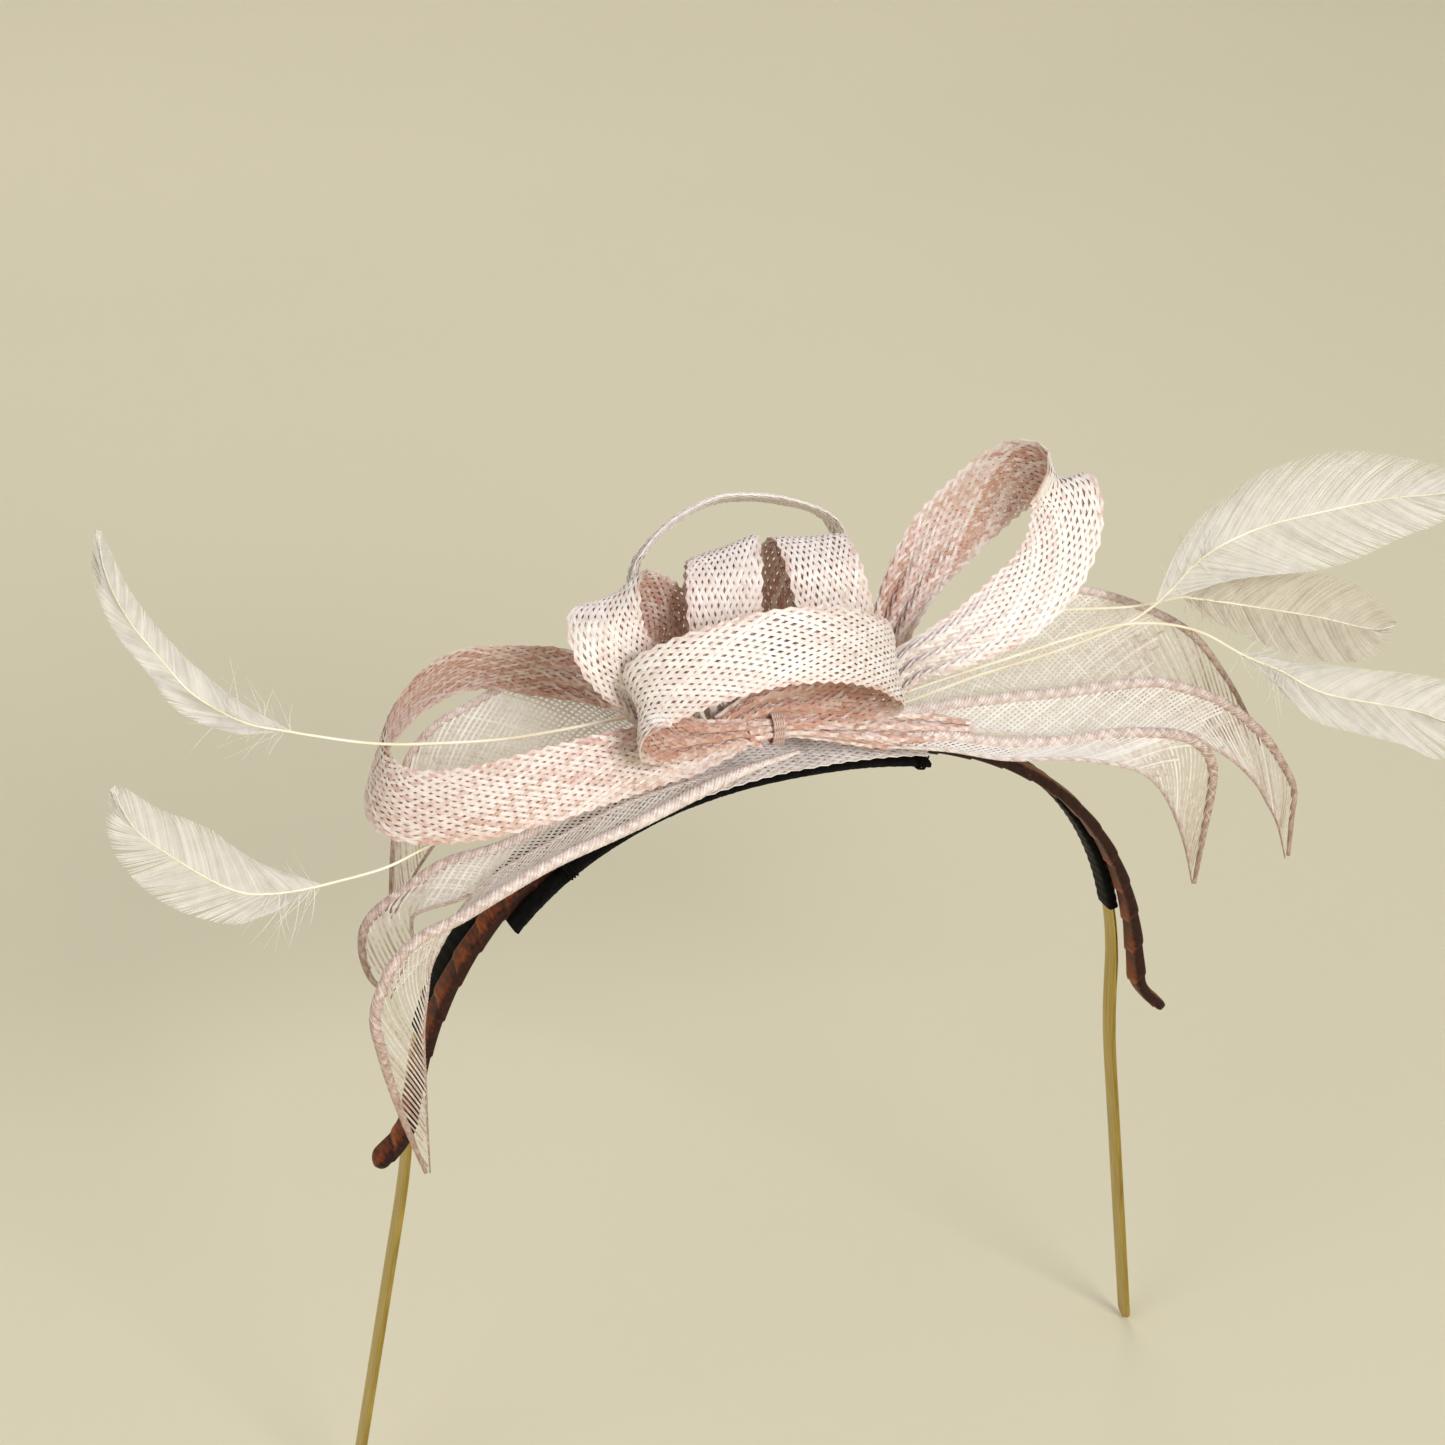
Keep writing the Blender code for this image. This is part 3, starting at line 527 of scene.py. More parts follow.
def weave_folded(shape, strip, random, full=RIBBON_WIDTH, tone=0.5, inside_shade=INSIDE_PAINTED_SHADE):
    """A strip folded double, as bias threads that wind round it both ways, over and under each other.

    tone is the threads' usual one. The last argument is painted shade: the threads are that much paler on
    the outside of a loop and that much darker on its inner side.
    """
    threads = 2 * round(full / THREAD_SPACING)  # an even number, so that the two layers' gaps line up
    rate = WEAVE_SLOPE * math.pi / (full * MM)
    step = math.pi / (threads * rate)
    along = np.arange(0, strip.length, step)
    sign = np.where(np.arange(len(along)) % 2 == 0, 1.0, -1.0)
    for way in (1, -1):
        for k in range(threads):
            place = k + random.uniform(-PLACE_JITTER, PLACE_JITTER)
            turn = 2 * math.pi * place / threads + way * rate * along
            v = np.arcsin(np.sin(turn)) * 2 / math.pi
            layer = np.clip(2.5 * np.cos(turn), -1, 1)
            lift = layer * (LAYER_OFFSET + way * sign * WEAVE_LIFT) * MM
            points, normal = strip.at(along, v, lift)
            along_thread = unit(np.gradient(points, axis=0))
            size = random.uniform(0.85, 1.15)
            # Painted shade: the inner layer of a loop gets a darker tone and the outer layer a paler one.
            outside = -layer * np.interp(along, strip.places, strip.inward)
            own = random.uniform(-THREAD_CONTRAST, THREAD_CONTRAST)
            tones = np.clip(tone + inside_shade * outside + own, 0, 1)
            shape.tube(points, np.cross(normal, along_thread), THREAD_WIDE * size * MM, THREAD_THICK * MM,
                       tones, sides=5)


class Leaf:
    """The surface between a leaf's hem and its other edge, bowed in the middle."""

    def __init__(self, hem, edge, count=200):
        self.hem = evenly_spaced(smooth_path(metres(hem)), count)
        self.edge = evenly_spaced(smooth_path(metres(edge)), count)
        middle = (self.hem + self.edge) / 2
        self.places = lengths_along(middle)
        self.length = self.places[-1]
        across = self.edge - self.hem
        self.width = np.linalg.norm(across, axis=1)
        self.normal = unit(np.cross(unit(np.gradient(middle, axis=0)), across))

    def at(self, along, y, lift):
        """The point that far along and y from the middle line, lifted off the surface."""
        hem, edge = sample(self.hem, self.places, along), sample(self.edge, self.places, along)
        normal = sample(self.normal, self.places, along)
        width = np.interp(along, self.places, self.width)
        share = y / width + 0.5
        bow = 4 * LEAF_BOW * width * share * (1 - share)
        return hem + (edge - hem) * share[:, None] + normal * (bow + lift)[:, None], normal


def weave_single(shape, leaf, random):
    """One layer of bias threads, cut at the edges. Only those that run from hem to edge reach the tip."""
    along = np.arange(0, leaf.length, LEAF_STEP * MM)
    width = np.interp(along, leaf.places, leaf.width)
    share = along / leaf.length
    for way, slopes, end in ((1, LEAF_SLOPES, 1.0), (-1, LEAF_CROSS_SLOPES, LEAF_CROSS_END)):
        drift = way * np.cumsum(np.interp(share, [0, 1], slopes)) * LEAF_STEP * MM
        reach = abs(drift[-1]) + width.max()
        for start in np.arange(-reach, reach, LEAF_SPACING * MM):
            y = start + drift
            last = end + random.uniform(-0.08, 0)
            inside = np.flatnonzero((np.abs(y) < width / 2) & (share <= last))
            for run in np.split(inside, np.flatnonzero(np.diff(inside) > 1) + 1):
                if len(run) < 3:
                    continue
                lift = way * 0.07 * MM * np.ones(len(run))
                points, normal = leaf.at(along[run], y[run], lift)
                along_thread = unit(np.gradient(points, axis=0))
                size = random.uniform(0.8, 1.2)
                own = random.uniform(-THREAD_CONTRAST, THREAD_CONTRAST)
                tones = np.clip(fading(share[run]) + own, 0, 1)
                shape.tube(points, np.cross(normal, along_thread), LEAF_THREAD_WIDE * size * MM,
                           LEAF_THREAD_THICK * MM, tones, sides=5)


def fading(share):
    """The usual tone along a leaf, pale at the root and dark at the tip."""
    return np.interp(share, [0, 0.45, 0.8, 1], [0.85, 0.7, 0.3, 0.1])


def twisted_roll(shape, path, radius, random, strands=5, pitch=5.0):
    """A rolled edge: fat strands twisted along the path, and thin threads wound the other way round it."""
    path = evenly_spaced(path, max(12, round(lengths_along(path)[-1] / (0.5 * MM))))
    places = lengths_along(path)
    share = places / places[-1]
    radius = radius * MM * np.interp(share, [0, 0.15, 0.75, 1], [0.25, 1, 0.9, 0.35])
    along = unit(np.gradient(path, axis=0))
    side = unit(np.cross(along, np.array([0.12, 0.35, 1.0])))
    other = np.cross(along, side)
    for way, count, distance, size in ((1, strands, 0.55, 0.95), (-1, strands + 2, 0.98, 0.2)):
        for k in range(count):
            turn = 2 * math.pi * (k / count + way * places / (pitch * MM))
            out = side * np.cos(turn)[:, None] + other * np.sin(turn)[:, None]
            strand = path + out * (radius * distance)[:, None]
            tones = np.clip(fading(share) + random.uniform(-THREAD_CONTRAST, THREAD_CONTRAST), 0, 1)
            shape.tube(strand, np.cross(along, out), 2 * radius * size * 0.6, 2 * radius * size * 0.5,
                       tones, sides=6)


# ---- materials


class Look:
    """A material in the making: its node tree and its Principled shader."""

    def __init__(self, name, **sockets):
        self.material = bpy.data.materials.new(name)
        self.material.use_nodes = True
        self.tree = self.material.node_tree
        self.shader = self.tree.nodes["Principled BSDF"]
        for socket, value in sockets.items():
            self.shader.inputs[socket.replace("_", " ")].default_value = value

    def node(self, kind, inputs=(), **settings):
        made = self.tree.nodes.new(kind)
        for name, value in settings.items():
            setattr(made, name, value)
        for name, value in dict(inputs).items():
            if isinstance(value, bpy.types.NodeSocket):
                self.tree.links.new(value, made.inputs[name])
            else:
                made.inputs[name].default_value = value
        return made

    def noise(self, scale, detail=3.0, stretch=(1, 1, 1)):
        """Noise over the object in metres, its scale in lumps per metre."""
        place = self.node("ShaderNodeTexCoord").outputs["Object"]
        if stretch != (1, 1, 1):
            place = self.node("ShaderNodeMapping", {"Vector": place, "Scale": stretch}).outputs["Vector"]
        made = self.node("ShaderNodeTexNoise", {"Vector": place, "Scale": scale, "Detail": detail})
        return made.outputs["Fac"]

    def tone(self):
        return self.node("ShaderNodeAttribute", attribute_name="tone").outputs["Fac"]

    def ramp(self, value, stops):
        """Colours at places from 0 to 1, blended between."""
        made = self.node("ShaderNodeValToRGB", {"Fac": value})
        elements = made.color_ramp.elements
        while len(elements) < len(stops):
            elements.new(0.5)
        for element, (place, color) in zip(elements, stops):
            element.position = place
            element.color = (*color, 1)
        return made.outputs["Color"]

    def math(self, operation, a, b):
        made = self.node("ShaderNodeMath", operation=operation)
        for socket, value in zip(made.inputs, (a, b)):
            if isinstance(value, bpy.types.NodeSocket):
                self.tree.links.new(value, socket)
            else:
                socket.default_value = value
        return made.outputs["Value"]

    def set(self, socket, value):
        self.tree.links.new(value, self.shader.inputs[socket])

    def bump(self, height, distance, strength=0.6):
        made = self.node("ShaderNodeBump", {"Height": height, "Distance": distance, "Strength": strength})
        self.set("Normal", made.outputs["Normal"])


def thread_look(name, dark, middle, light, roughness=0.38):
    """Glossy plant-fibre thread: each thread its own tone, with fine streaks and blotches. The tone also
    carries painted light and shade.
    """
    look = Look(name, Roughness=roughness, Specular_IOR_Level=0.6, Sheen_Weight=0.25, Sheen_Roughness=0.4)
    blotch = look.math("MULTIPLY", look.noise(900.0), 0.45)
    mixed = look.math("ADD", blotch, look.math("MULTIPLY", look.tone(), 0.55))
    look.set("Base Color", look.ramp(mixed, [(0.25, dark), (0.5, middle), (0.75, light)]))
    look.bump(look.noise(6000.0), 0.00008, 0.5)
    return look.material


def make_looks():
    looks = {
        # The sinamay's dark stop is the colour of its painted shade.
        "sinamay": thread_look("sinamay", (0.54, 0.28, 0.20), (0.80, 0.67, 0.62), (0.91, 0.86, 0.83)),
        "sheer": thread_look("sheer_sinamay", (0.46, 0.34, 0.27), (0.79, 0.71, 0.65), (0.94, 0.91, 0.87)),
        "hem": thread_look("rolled_hem", (0.36, 0.23, 0.17), (0.66, 0.51, 0.45), (0.93, 0.84, 0.80)),
        "thread": thread_look(
            "binding_thread", (0.36, 0.2, 0.15), (0.56, 0.38, 0.32), (0.74, 0.56, 0.5), roughness=0.5
        ),
    }
    looks["feather"] = feather_look("feather", (0.72, 0.68, 0.63), (0.90, 0.87, 0.83), 0.56)
    looks["drab_feather"] = feather_look("drab_feather", (0.58, 0.51, 0.42), (0.78, 0.71, 0.61), 0.72)
    looks["quill"] = quill_look()
    looks["brown"] = brown_look()
    looks["satin"] = satin_look()
    looks["felt"] = felt_look()
    looks["gold"] = gold_look()
    looks["steel"] = steel_look()
    return looks


def feather_look(name, dark, light, alpha):
    look = Look(name, Roughness=0.5, Sheen_Weight=0.3, Alpha=alpha, Specular_IOR_Level=0.35)
    streaks = look.math("MULTIPLY", look.noise(400.0), 0.6)
    mixed = look.math("ADD", streaks, look.math("MULTIPLY", look.tone(), 0.4))
    look.set("Base Color", look.ramp(mixed, [(0.25, dark), (0.7, light)]))
    look.bump(look.noise(9000.0), 0.00005, 0.3)
    return look.material


def quill_look():
    look = Look("quill", Roughness=0.3, Coat_Weight=0.2, Subsurface_Weight=0.2, Subsurface_Scale=0.001)
    look.set("Base Color", look.ramp(look.noise(300.0, stretch=(0.3, 1, 1)),
                                     [(0.3, (0.84, 0.74, 0.52)), (0.65, (0.96, 0.92, 0.78))]))
    look.bump(look.noise(4000.0), 0.00005, 0.3)
    return look.material


def brown_look():
    """Satin ribbon wound on the slant: fine slanting ribs, with the tone carrying a painted highlight along
    the middle and painted shade at the edges.
    """
    look = Look("brown_ribbon", Specular_IOR_Level=0.22)
    streaks = look.noise(1400.0, 4.0, (1, 0.25, 1))
    mixed = look.math("ADD", look.math("MULTIPLY", streaks, 0.55), look.math("MULTIPLY", look.tone(), 0.5))
    # The lighter stops give the painted highlight's colours and the darker ones the painted shade at the
    # edges.
    look.set("Base Color", look.ramp(mixed, [(0.3, (0.006, 0.002, 0.001)), (0.48, (0.035, 0.007, 0.003)),
                                             (0.62, (0.17, 0.035, 0.008)), (0.8, (0.40, 0.11, 0.025))]))
    look.set("Roughness", look.ramp(streaks, [(0.3, (0.3,) * 3), (0.7, (0.52,) * 3)]))
    look.bump(look.math("ADD", streaks, look.noise(7000.0)), 0.00015, 0.6)
    return look.material


def satin_look():
    look = Look("black_satin", Specular_IOR_Level=0.05)
    fibres = look.noise(2500.0, 3.0, (0.2, 1, 0.2))
    look.set("Base Color", look.ramp(fibres, [(0.3, (0.002, 0.002, 0.002)), (0.7, (0.007, 0.006, 0.006))]))
    look.set("Roughness", look.ramp(fibres, [(0.3, (0.38,) * 3), (0.7, (0.6,) * 3)]))
    look.bump(fibres, 0.0001, 0.5)
    return look.material


def felt_look():
    look = Look(
        "black_felt", Roughness=0.95, Sheen_Weight=0.02, Sheen_Roughness=0.6, Specular_IOR_Level=0.06
    )
    fluff = look.math("ADD", look.noise(1800.0), look.noise(9000.0))
    patches = [(0.3, (0.003, 0.003, 0.003)), (0.7, (0.012, 0.011, 0.011))]
    look.set("Base Color", look.ramp(look.noise(700.0, 6.0), patches))
    look.bump(fluff, 0.0003, 0.9)
    return look.material


def gold_look():
    look = Look("gold_metal", Metallic=1.0)
    rubbed = look.noise(500.0, 5.0, (1, 6, 0.15))
    look.set("Base Color", look.ramp(rubbed, [(0.3, (0.36, 0.25, 0.06)), (0.7, (0.60, 0.45, 0.13))]))
    look.set("Roughness", look.ramp(rubbed, [(0.3, (0.16,) * 3), (0.7, (0.30,) * 3)]))
    look.bump(rubbed, 0.00004, 0.3)
    return look.material


def steel_look():
    look = Look("band_steel", Metallic=1.0)
    brushed = look.noise(900.0, 4.0, (0.2, 5, 0.2))
    look.set("Base Color", look.ramp(brushed, [(0.3, (0.42, 0.42, 0.42)), (0.7, (0.58, 0.58, 0.57))]))
    look.set("Roughness", look.ramp(brushed, [(0.3, (0.28,) * 3), (0.7, (0.42,) * 3)]))
    return look.material


# ---- pieces


def sinamay_loops(looks):
    for index, (name, (route, across, widths)) in enumerate(LOOPS.items()):
        random = np.random.default_rng(SEED + index)
        strip = Strip(route, across, widths)
        shape = Shape()
        # Each loop's tone is painted light and shade, and the second number is the painted shade on its
        # inner side.
        tone, inside_shade = LOOP_PAINTED_SHADING.get(name, (0.47, INSIDE_PAINTED_SHADE))
        weave_folded(shape, strip, random, tone=tone, inside_shade=inside_shade)
        loop = shape.piece("woven_" + name, looks["sinamay"], "headpiece", "sinamay_ribbon", name)


def gathered_middle(looks):
    random = np.random.default_rng(SEED + 20)
    strip = Strip(KNOT_ROUTE, [(0, 0.35, 1)], KNOT_WIDTHS)
    shape = Shape()
    # Painted shade: the pinched gather gets a dark tone all over.
    weave_folded(shape, strip, random, tone=0.28, inside_shade=0)
    middle = shape.piece("gathered_middle", looks["sinamay"], "headpiece", "sinamay_ribbon", "centre_knot")
    shape = Shape()
    turns = np.linspace(0, 2 * math.pi * 5, 160)
    centre = metres(KNOT_CENTRE)
    x = np.linspace(-1.1, 1.1, len(turns)) * MM
    ring = np.stack([x, np.cos(turns) * 1.9 * MM, np.sin(turns) * 3.0 * MM], axis=1) + centre
    across = np.tile([1.0, 0, 0], (len(turns), 1))
    for phase in (0, math.pi):
        twist = 0.14 * MM * np.stack([np.cos(turns * 9 + phase), np.sin(turns * 9 + phase) * np.cos(turns),
                                      np.sin(turns * 9 + phase) * np.sin(turns)], axis=1)
        shape.tube(ring + twist, across, 0.36 * MM, 0.36 * MM, 0.5 + phase / 10)
    shape.piece("binding_thread", looks["thread"], "headpiece", "pink_thread", "knot_binding")


def sinamay_base(looks):
    """The flat piece of folded strip that follows the arch under the bow."""
    random = np.random.default_rng(SEED + 30)
    line = arch_line(np.linspace(BASE_LEFT_ANGLE, BASE_RIGHT_ANGLE, 60))
    line = line + outward(line) * BASE_LIFT * MM
    depth = 2 * BASE_HALF_DEPTH
    route = np.stack([line[:, 0], np.zeros(len(line)), line[:, 1]], axis=1) / MM
    strip = Strip(route, [(0, 1, 0)], [depth], depth)
    shape = Shape()
    # Painted light: the base gets a pale tone all over.
    weave_folded(shape, strip, random, depth, tone=0.8, inside_shade=0)
    base = shape.piece("woven_base", looks["sinamay"], "headpiece", "sinamay_ribbon", "sinamay_base")


def sinamay_leaves(looks):
    for index, (name, (hem, edge)) in enumerate(LEAVES.items()):
        random = np.random.default_rng(SEED + 40 + index)
        leaf = Leaf(hem, edge)
        shape = Shape()
        weave_single(shape, leaf, random)
        mesh = shape.piece("woven_" + name, looks["sheer"], "headpiece", "sinamay_leaf", name)
        shape = Shape()
        twisted_roll(shape, leaf.hem, BACK_HEM_RADIUS if "back" in name else HEM_RADIUS, random)
        if name != "leaf_right_back":
            twisted_roll(shape, leaf.edge, EDGE_RADIUS, random, strands=3, pitch=3.5)
        hems = shape.piece("hem_" + name, looks["hem"], "headpiece", "sinamay_leaf")


def feathers(looks):
    for index, (name, (quill, upper, lower)) in enumerate(FEATHERS.items()):
        random = np.random.default_rng(SEED + 60 + index)
        look = looks["drab_feather"] if name == "feather_right_middle" else looks["feather"]
        upper = evenly_spaced(smooth_path(metres(upper)), RACHIS_POINTS)
        lower = evenly_spaced(smooth_path(metres(lower)), RACHIS_POINTS)
        rachis = (upper + lower) / 2
        vane = Shape()
        barbs(vane, rachis, upper, random)
        barbs(vane, rachis, lower, random)
        down(vane, rachis, random)
        vane.piece("barbs_" + name, look, name, "feather", name + "_vane")
        shape = Shape()
        stem = evenly_spaced(np.vstack([smooth_path(metres(quill))[:-1], rachis[:-2]]), 110)
        share = np.linspace(0, 1, len(stem))
        radius = np.interp(share, [0, 0.4, 1], [QUILL_RADIUS, QUILL_MIDDLE_RADIUS, RACHIS_TIP_RADIUS]) * MM
        across = np.tile([0.0, 1, 0.1], (len(stem), 1))
        shape.tube(stem, across, 2 * radius, 2 * radius, 0.5, sides=10)
        shape.piece("shaft_" + name, looks["quill"], name, "quill", name + "_quill")


def barbs(shape, rachis, edge, random):
    """Barbs on one side of the rachis, swept towards the tip, each ending on the edge."""
    lengths = lengths_along(rachis)
    total = lengths[-1]
    count = round(total / (BARB_SPACING * MM))
    places = np.linspace(0, 1, len(rachis))
    t = np.linspace(0, 1, 8)
    clump = np.cumsum(random.normal(0, 0.012, count))
    clump -= np.linspace(clump[0], clump[-1], count)
    for k in range(count):
        root_share = k / count
        tip_share = min(root_share + 0.16 + clump[k] * 0.5 + random.normal(0, 0.003), 0.998)
        root, tip = sample(rachis, places, root_share), sample(edge, places, tip_share)
        reach = np.linalg.norm(tip - root)
        if reach < 0.5 * MM:
            continue
        beside = sample(edge, places, root_share + (tip_share - root_share) * 0.35)
        middle = (root + tip) / 2 + (beside - root) * 0.18
        path = root * (1 - t)[:, None] ** 2 + 2 * middle * (t * (1 - t))[:, None] + tip * t[:, None] ** 2
        path[:, 1] += random.normal(0, 0.05) * MM + 0.04 * reach * np.sin(t * math.pi)
        nearest = int(root_share * (RACHIS_POINTS - 1))
        across = np.tile(np.gradient(rachis, axis=0)[nearest], (len(t), 1))
        wide = BARB_WIDE * MM * np.interp(t, [0, 0.7, 1], [0.9, 1, 0.25])
        shape.tube(path, across, wide, BARB_THICK * MM, random.uniform(), sides=4)


def down(shape, rachis, random):
    """Loose downy wisps round the foot of the vane."""
    lengths = lengths_along(rachis)
    along = unit(rachis[8] - rachis[0])
    t = np.linspace(0, 1, 10)
    for _ in range(36):
        root = sample(rachis, lengths, random.uniform(0, 0.22) * lengths[-1])
        side = unit(np.cross(along, random.normal(0, 1, 3)))
        side[1] *= 0.4
        reach = random.uniform(4, 11) * MM
        heading = unit(along * random.uniform(0.1, 0.9) + side)
        bend = unit(random.normal(0, 1, 3)) * reach * 0.25
        path = root + heading * (t * reach)[:, None] + bend * (t**2)[:, None]
        across = np.tile(np.cross(heading, [0.3, 1, 0.2]), (len(t), 1))
        wide = np.interp(t, [0, 1], [0.16, 0.05]) * MM
        shape.tube(path, across, wide, 0.05 * MM, random.uniform(), sides=4)


def half_line(side, end_angle, half_width, rise, extra=()):
    """An (x, z) line from the crown down one side, run so that outward() points away from the head."""
    angles = np.linspace(0, end_angle, 150)
    line = arch_line(angles, half_width, rise)
    if len(extra):
        line = np.vstack([line, metres(extra)])
    line = evenly_spaced(smooth_path(line, 3), 420)
    if side == "right":
        return line
    return (line * [-1, 1])[::-1]


def band_wraps(looks):
    """Brown ribbon wound round the steel strip: each turn overlaps the last with a slanting step."""
    sides = 28
    around = np.arange(sides) / sides
    for side in ("left", "right"):
        line = half_line(side, WRAP_END_ANGLE, ARCH_HALF_WIDTH, ARCH_RISE, TIP_FLARE)
        places = lengths_along(line) / MM
        from_crown = places if side == "right" else places[-1] - places
        turn = from_crown[:, None] / WRAP_PITCH - around[None, :]
        step = turn % 1.0
        swell = 0.26 * (step - 0.35) * np.clip((places[-1] - from_crown) / 2, 0, 1)[:, None]
        rings = band_rings(line, 0.0, WRAP_WIDTH, WRAP_THICKNESS, sides, swell)
        from_tip = np.clip((places[-1] - from_crown) / 2.4, 0, 1)
        narrow = np.sqrt(np.clip(1 - (1 - from_tip) ** 2, 0.03, 1))
        centre = rings.mean(axis=1, keepdims=True)
        rings = centre + (rings - centre) * narrow[:, None, None]
        shape = Shape()
        shape.grid(rings, 0.5)
        # Painted light: the tone is a painted highlight along the middle of the band's faces and painted
        # shade at its edges. It grows lighter up to each turn's raised step and is brightest on the step
        # itself.
        middle = 1 - np.abs(np.cos(2 * math.pi * around)) ** 2.5
        tones = np.clip(0.25 + 0.55 * middle[None, :] * (0.4 + 0.6 * step) + 0.1 * (step > 0.9), 0, 1)
        shape.tones = [tones.ravel()]
        wrap = shape.piece("band_wrap_" + side, looks["brown"], None, "brown_ribbon",
                           "brown_wrap_" + side, "band_tip_" + side)
        if side == "left":
            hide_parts("brown_wrap_crown")
        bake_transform(wrap)


def sleeves(looks):
    """Black satin sleeve over the metal band, in fine turns of ribbon."""
    sides = 20
    around = np.arange(sides) / sides
    for side in ("left", "right"):
        line = half_line(side, SLEEVE_END_ANGLE, METAL_HALF_WIDTH, METAL_RISE)
        places = lengths_along(line) / MM
        swell = 0.05 * np.sin(2 * math.pi * (places[:, None] / SLEEVE_PITCH / 4 - around[None, :]))
        rings = band_rings(line, METAL_CENTRE_Y, SLEEVE_WIDTH, SLEEVE_THICKNESS, sides, swell)
        shape = Shape()
        shape.grid(rings, 0.5)
        node = "black_sleeve_" + side
        sleeve = shape.piece("satin_sleeve_" + side, looks["satin"], None, "black_satin", node)
        if side == "left":
            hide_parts("black_sleeve_crown")
        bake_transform(sleeve)


def metal_arms(looks):
    """The bare lower part of the gold-toned band, from inside the sleeve down to its rounded end."""
    for side in ("left", "right"):
        angles = np.linspace(HINGE_ANGLE + 1, METAL_BEND_ANGLE, 30)
        line = np.vstack([arch_line(angles, METAL_HALF_WIDTH, METAL_RISE), metres(METAL_STRAIGHT)])
        line = evenly_spaced(smooth_path(line, 4), 160)
        if side == "left":
            line = (line * [-1, 1])[::-1]
        rings = band_rings(line, METAL_CENTRE_Y, METAL_WIDTH, METAL_THICKNESS, 24)
        places = lengths_along(line) / MM
        from_end = places[-1] - places if side == "right" else places
        narrow = np.sqrt(np.clip(1 - (1 - np.clip(from_end / 2.2, 0, 1)) ** 2, 0.02, 1))
        rings[..., 1] = METAL_CENTRE_Y * MM + (rings[..., 1] - METAL_CENTRE_Y * MM) * narrow[:, None]
        shape = Shape()
        shape.grid(rings, 0.5)
        shape.piece("metal_band_" + side, looks["gold"], side + "_arm", "gold_metal", "gold_band_" + side)


def felt_pad(looks):
    angles = np.linspace(PAD_LEFT_ANGLE, PAD_RIGHT_ANGLE, 90)
    line = evenly_spaced(arch_line(angles, METAL_HALF_WIDTH, METAL_RISE), 260)
    line = line - outward(line) * (WRAP_THICKNESS / 2 + 0.3 + PAD_THICKNESS / 2) * MM
    random = np.random.default_rng(SEED + 80)
    swell = random.normal(0, 0.035, (len(line), 48))
    swell = (swell + np.roll(swell, 1, axis=0) + np.roll(swell, 1, axis=1)) / 2
    centre = (PAD_FRONT + PAD_BACK) / 2
    rings = band_rings(line, centre, PAD_BACK - PAD_FRONT - 0.3, PAD_THICKNESS - 0.2, 48, swell)
    shape = Shape()
    shape.grid(rings, 0.5)
    pad = shape.piece("felt_layer", looks["felt"], "headpiece", "black_felt", "felt_pad")


def band_ties(looks):
    """Three turns of black thread round both bands and the pad."""
    random = np.random.default_rng(SEED + 90)
    high, low = WRAP_THICKNESS / 2 + 0.25, -(WRAP_THICKNESS / 2 + 0.3 + PAD_THICKNESS + TIE_SLACK)
    for name, angle in TIE_ANGLES.items():
        line = arch_line([angle - 1, angle, angle + 1])
        along, normal = unit(line[2] - line[0]), outward(line)[1]
        turns = np.linspace(0, 2 * math.pi, 60, endpoint=False)
        y = (PAD_FRONT + PAD_BACK) / 2 + np.sign(np.cos(turns)) * np.abs(np.cos(turns)) ** 0.3 * 7.8
        off = (high + low) / 2 + np.sign(np.sin(turns)) * np.abs(np.sin(turns)) ** 0.3 * (high - low) / 2
        shape = Shape()
        for shift in (-0.55, 0.0, 0.55):
            place = line[1] + along * shift * MM
            lean = along * (random.uniform(-0.3, 0.3) * MM * np.sin(turns))[:, None]
            flat = place + normal * (off * MM)[:, None] + lean
            path = np.stack([flat[:, 0], y * MM, flat[:, 1]], axis=1)
            across = np.tile([along[0], 0, along[1]], (len(turns), 1))
            shape.tube(path, across, 0.42 * MM, 0.36 * MM, random.uniform(), sides=6, closed=True)
        shape.piece("sewn_" + name, looks["satin"], "headpiece", "black_satin", name)


def carried_over(looks):
    """CAD nodes that keep their shape and get a better material. They lie inside the wraps."""
    for name in ("band_core_crown", "band_core_left", "band_core_right"):
        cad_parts[name].material_slots[0].material = looks["steel"]
    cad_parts["gold_band_crown"].material_slots[0].material = looks["gold"]


# ---- the studio


def camera():
    data = bpy.data.cameras.new("camera")
    data.lens, data.sensor_width = LENS, SENSOR
    data.clip_start, data.clip_end = 0.01, 20.0
    obj = bpy.data.objects.new("camera", data)
    turn, tilt, roll = np.radians([CAMERA_TURN, CAMERA_TILT, CAMERA_ROLL])
    level = np.array([math.cos(turn), math.sin(turn), 0])
    back = np.array([math.sin(turn) * math.cos(tilt), -math.cos(turn) * math.cos(tilt), math.sin(tilt)])
    upright = np.cross(back, level)
    right = math.cos(roll) * level + math.sin(roll) * upright
    up = math.cos(roll) * upright - math.sin(roll) * level
    target = np.array(CAMERA_CROWN) - CAMERA_ASIDE * right + CAMERA_ABOVE * up
    matrix = np.eye(4)
    matrix[:3, :3] = np.array([right, up, back]).T
    matrix[:3, 3] = (target + CAMERA_DISTANCE * back) * MM
    obj.matrix_world = Matrix(matrix.tolist())
    bpy.context.scene.collection.objects.link(obj)
    bpy.context.scene.camera = obj


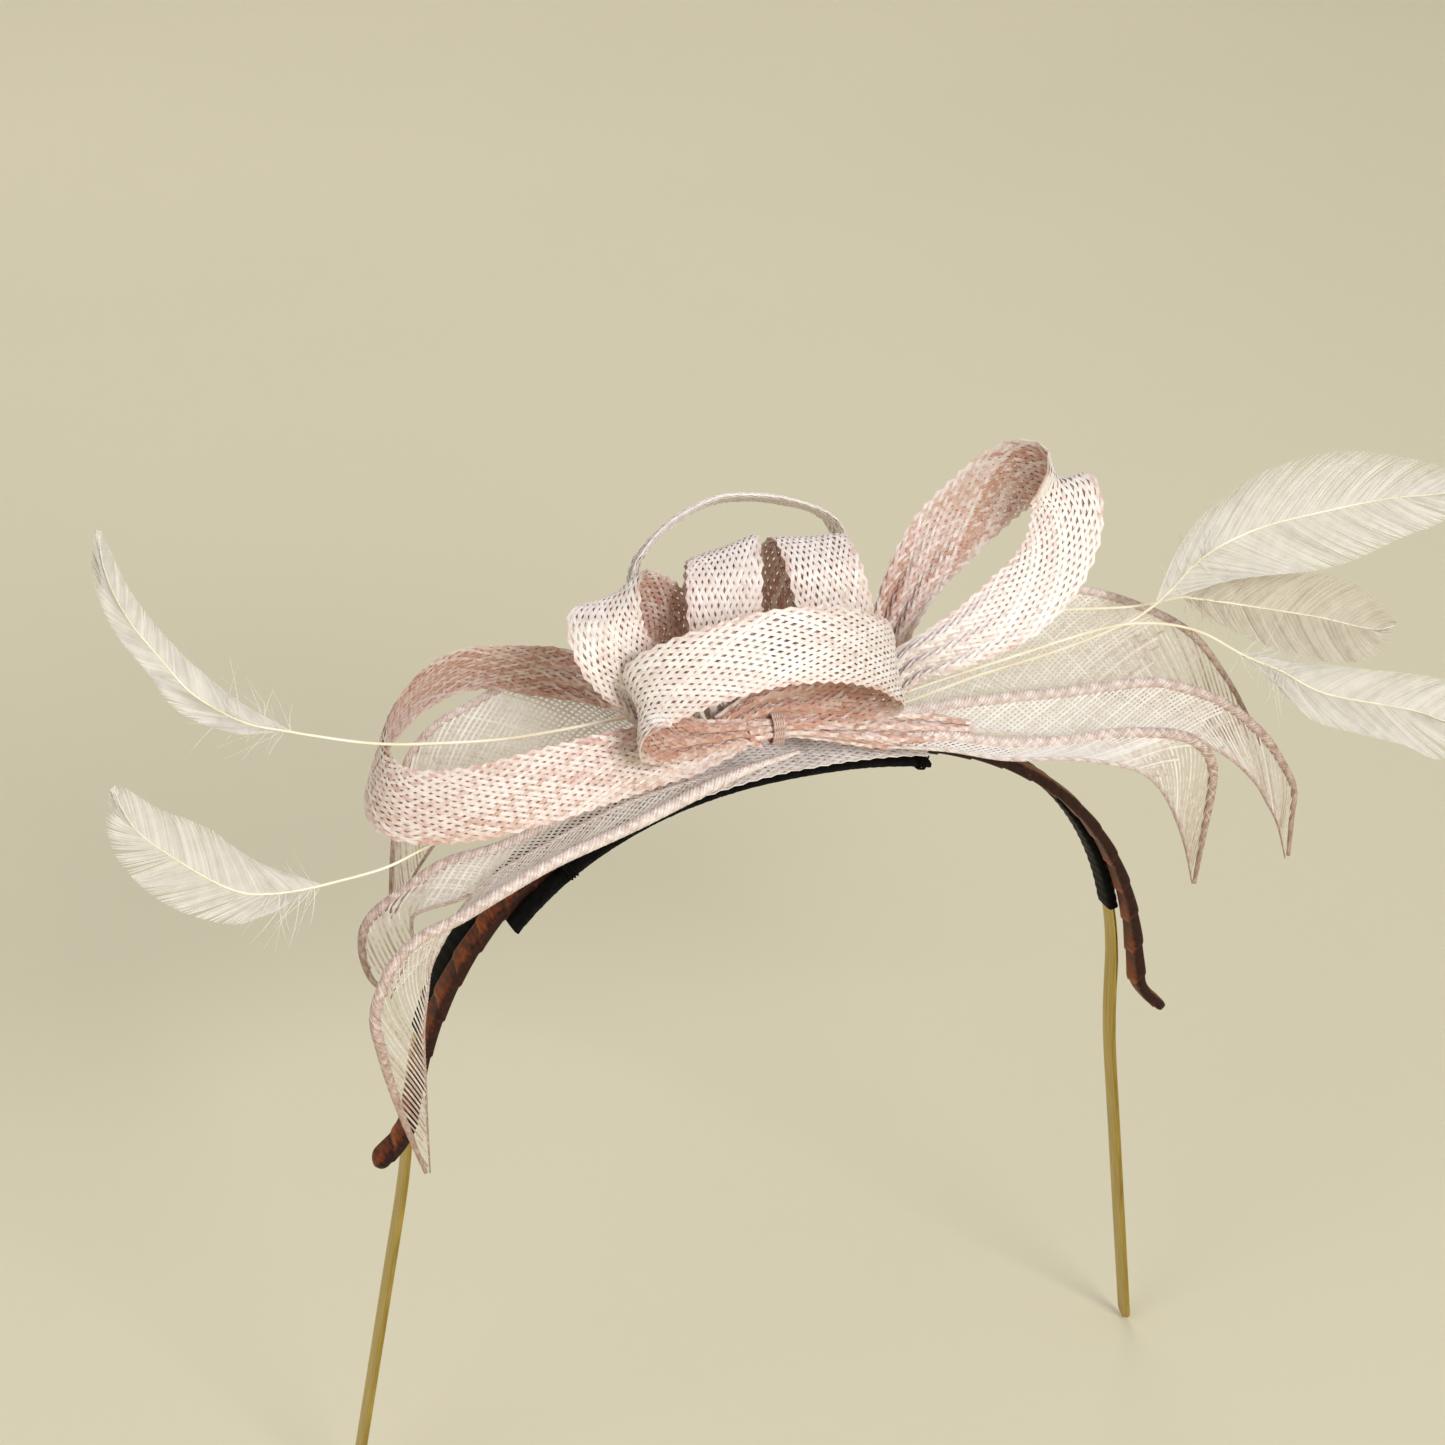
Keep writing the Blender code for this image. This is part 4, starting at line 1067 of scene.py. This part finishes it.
def area_light(name, place, size, watts, color):
    data = bpy.data.lights.new(name, "AREA")
    data.shape, data.size, data.energy, data.color = "DISK", size, watts, color
    obj = bpy.data.objects.new(name, data)
    back = unit(np.array(place))
    right = unit(np.cross([0, 0, 1], back))
    matrix = np.eye(4)
    matrix[:3, :3] = np.array([right, np.cross(back, right), back]).T
    matrix[:3, 3] = place
    obj.matrix_world = Matrix(matrix.tolist())
    bpy.context.scene.collection.objects.link(obj)


def backdrop():
    """A plain pale floor that sweeps up into a low wall all round."""
    rise = np.radians(np.linspace(0, 85, 18))
    r = np.r_[0.01, 0.6, FLOOR_RADIUS + WALL_RADIUS * np.sin(rise)]
    z = np.r_[0, 0, WALL_RADIUS * (1 - np.cos(rise))]
    turns = np.linspace(0, 2 * math.pi, 72, endpoint=False)
    height = np.broadcast_to(z[:, None] + FLOOR_Z, (len(z), len(turns)))
    rings = np.stack([r[:, None] * np.cos(turns), r[:, None] * np.sin(turns), height], axis=-1)
    index = np.arange(rings.shape[0] * rings.shape[1]).reshape(rings.shape[:2])
    faces = quads_between(index).tolist() + index[:1, ::-1].tolist()
    look = Look("backdrop", Roughness=0.9, Specular_IOR_Level=0.2)
    look.set("Base Color", look.ramp(look.noise(2.0), BACKDROP_COLORS))
    mesh = bpy.data.meshes.new("backdrop")
    mesh.from_pydata(rings.reshape(-1, 3).tolist(), [], faces)
    mesh.shade_smooth()
    mesh.materials.append(look.material)
    obj = bpy.data.objects.new("backdrop", mesh)
    bpy.context.scene.collection.objects.link(obj)


def lights():
    for name, (place, size, watts, color) in LIGHTS.items():
        area_light(name, place, size, watts, color)
    world = bpy.data.worlds.new("studio")
    world.use_nodes = True
    background = world.node_tree.nodes["Background"]
    background.inputs["Color"].default_value = WORLD_COLOR
    background.inputs["Strength"].default_value = WORLD_STRENGTH
    bpy.context.scene.world = world
    bpy.context.scene.view_settings.view_transform = "Standard"


camera()
lights()
backdrop()
all_looks = make_looks()
carried_over(all_looks)
felt_pad(all_looks)
band_wraps(all_looks)
sleeves(all_looks)
metal_arms(all_looks)
band_ties(all_looks)
sinamay_base(all_looks)
sinamay_loops(all_looks)
gathered_middle(all_looks)
sinamay_leaves(all_looks)
feathers(all_looks)
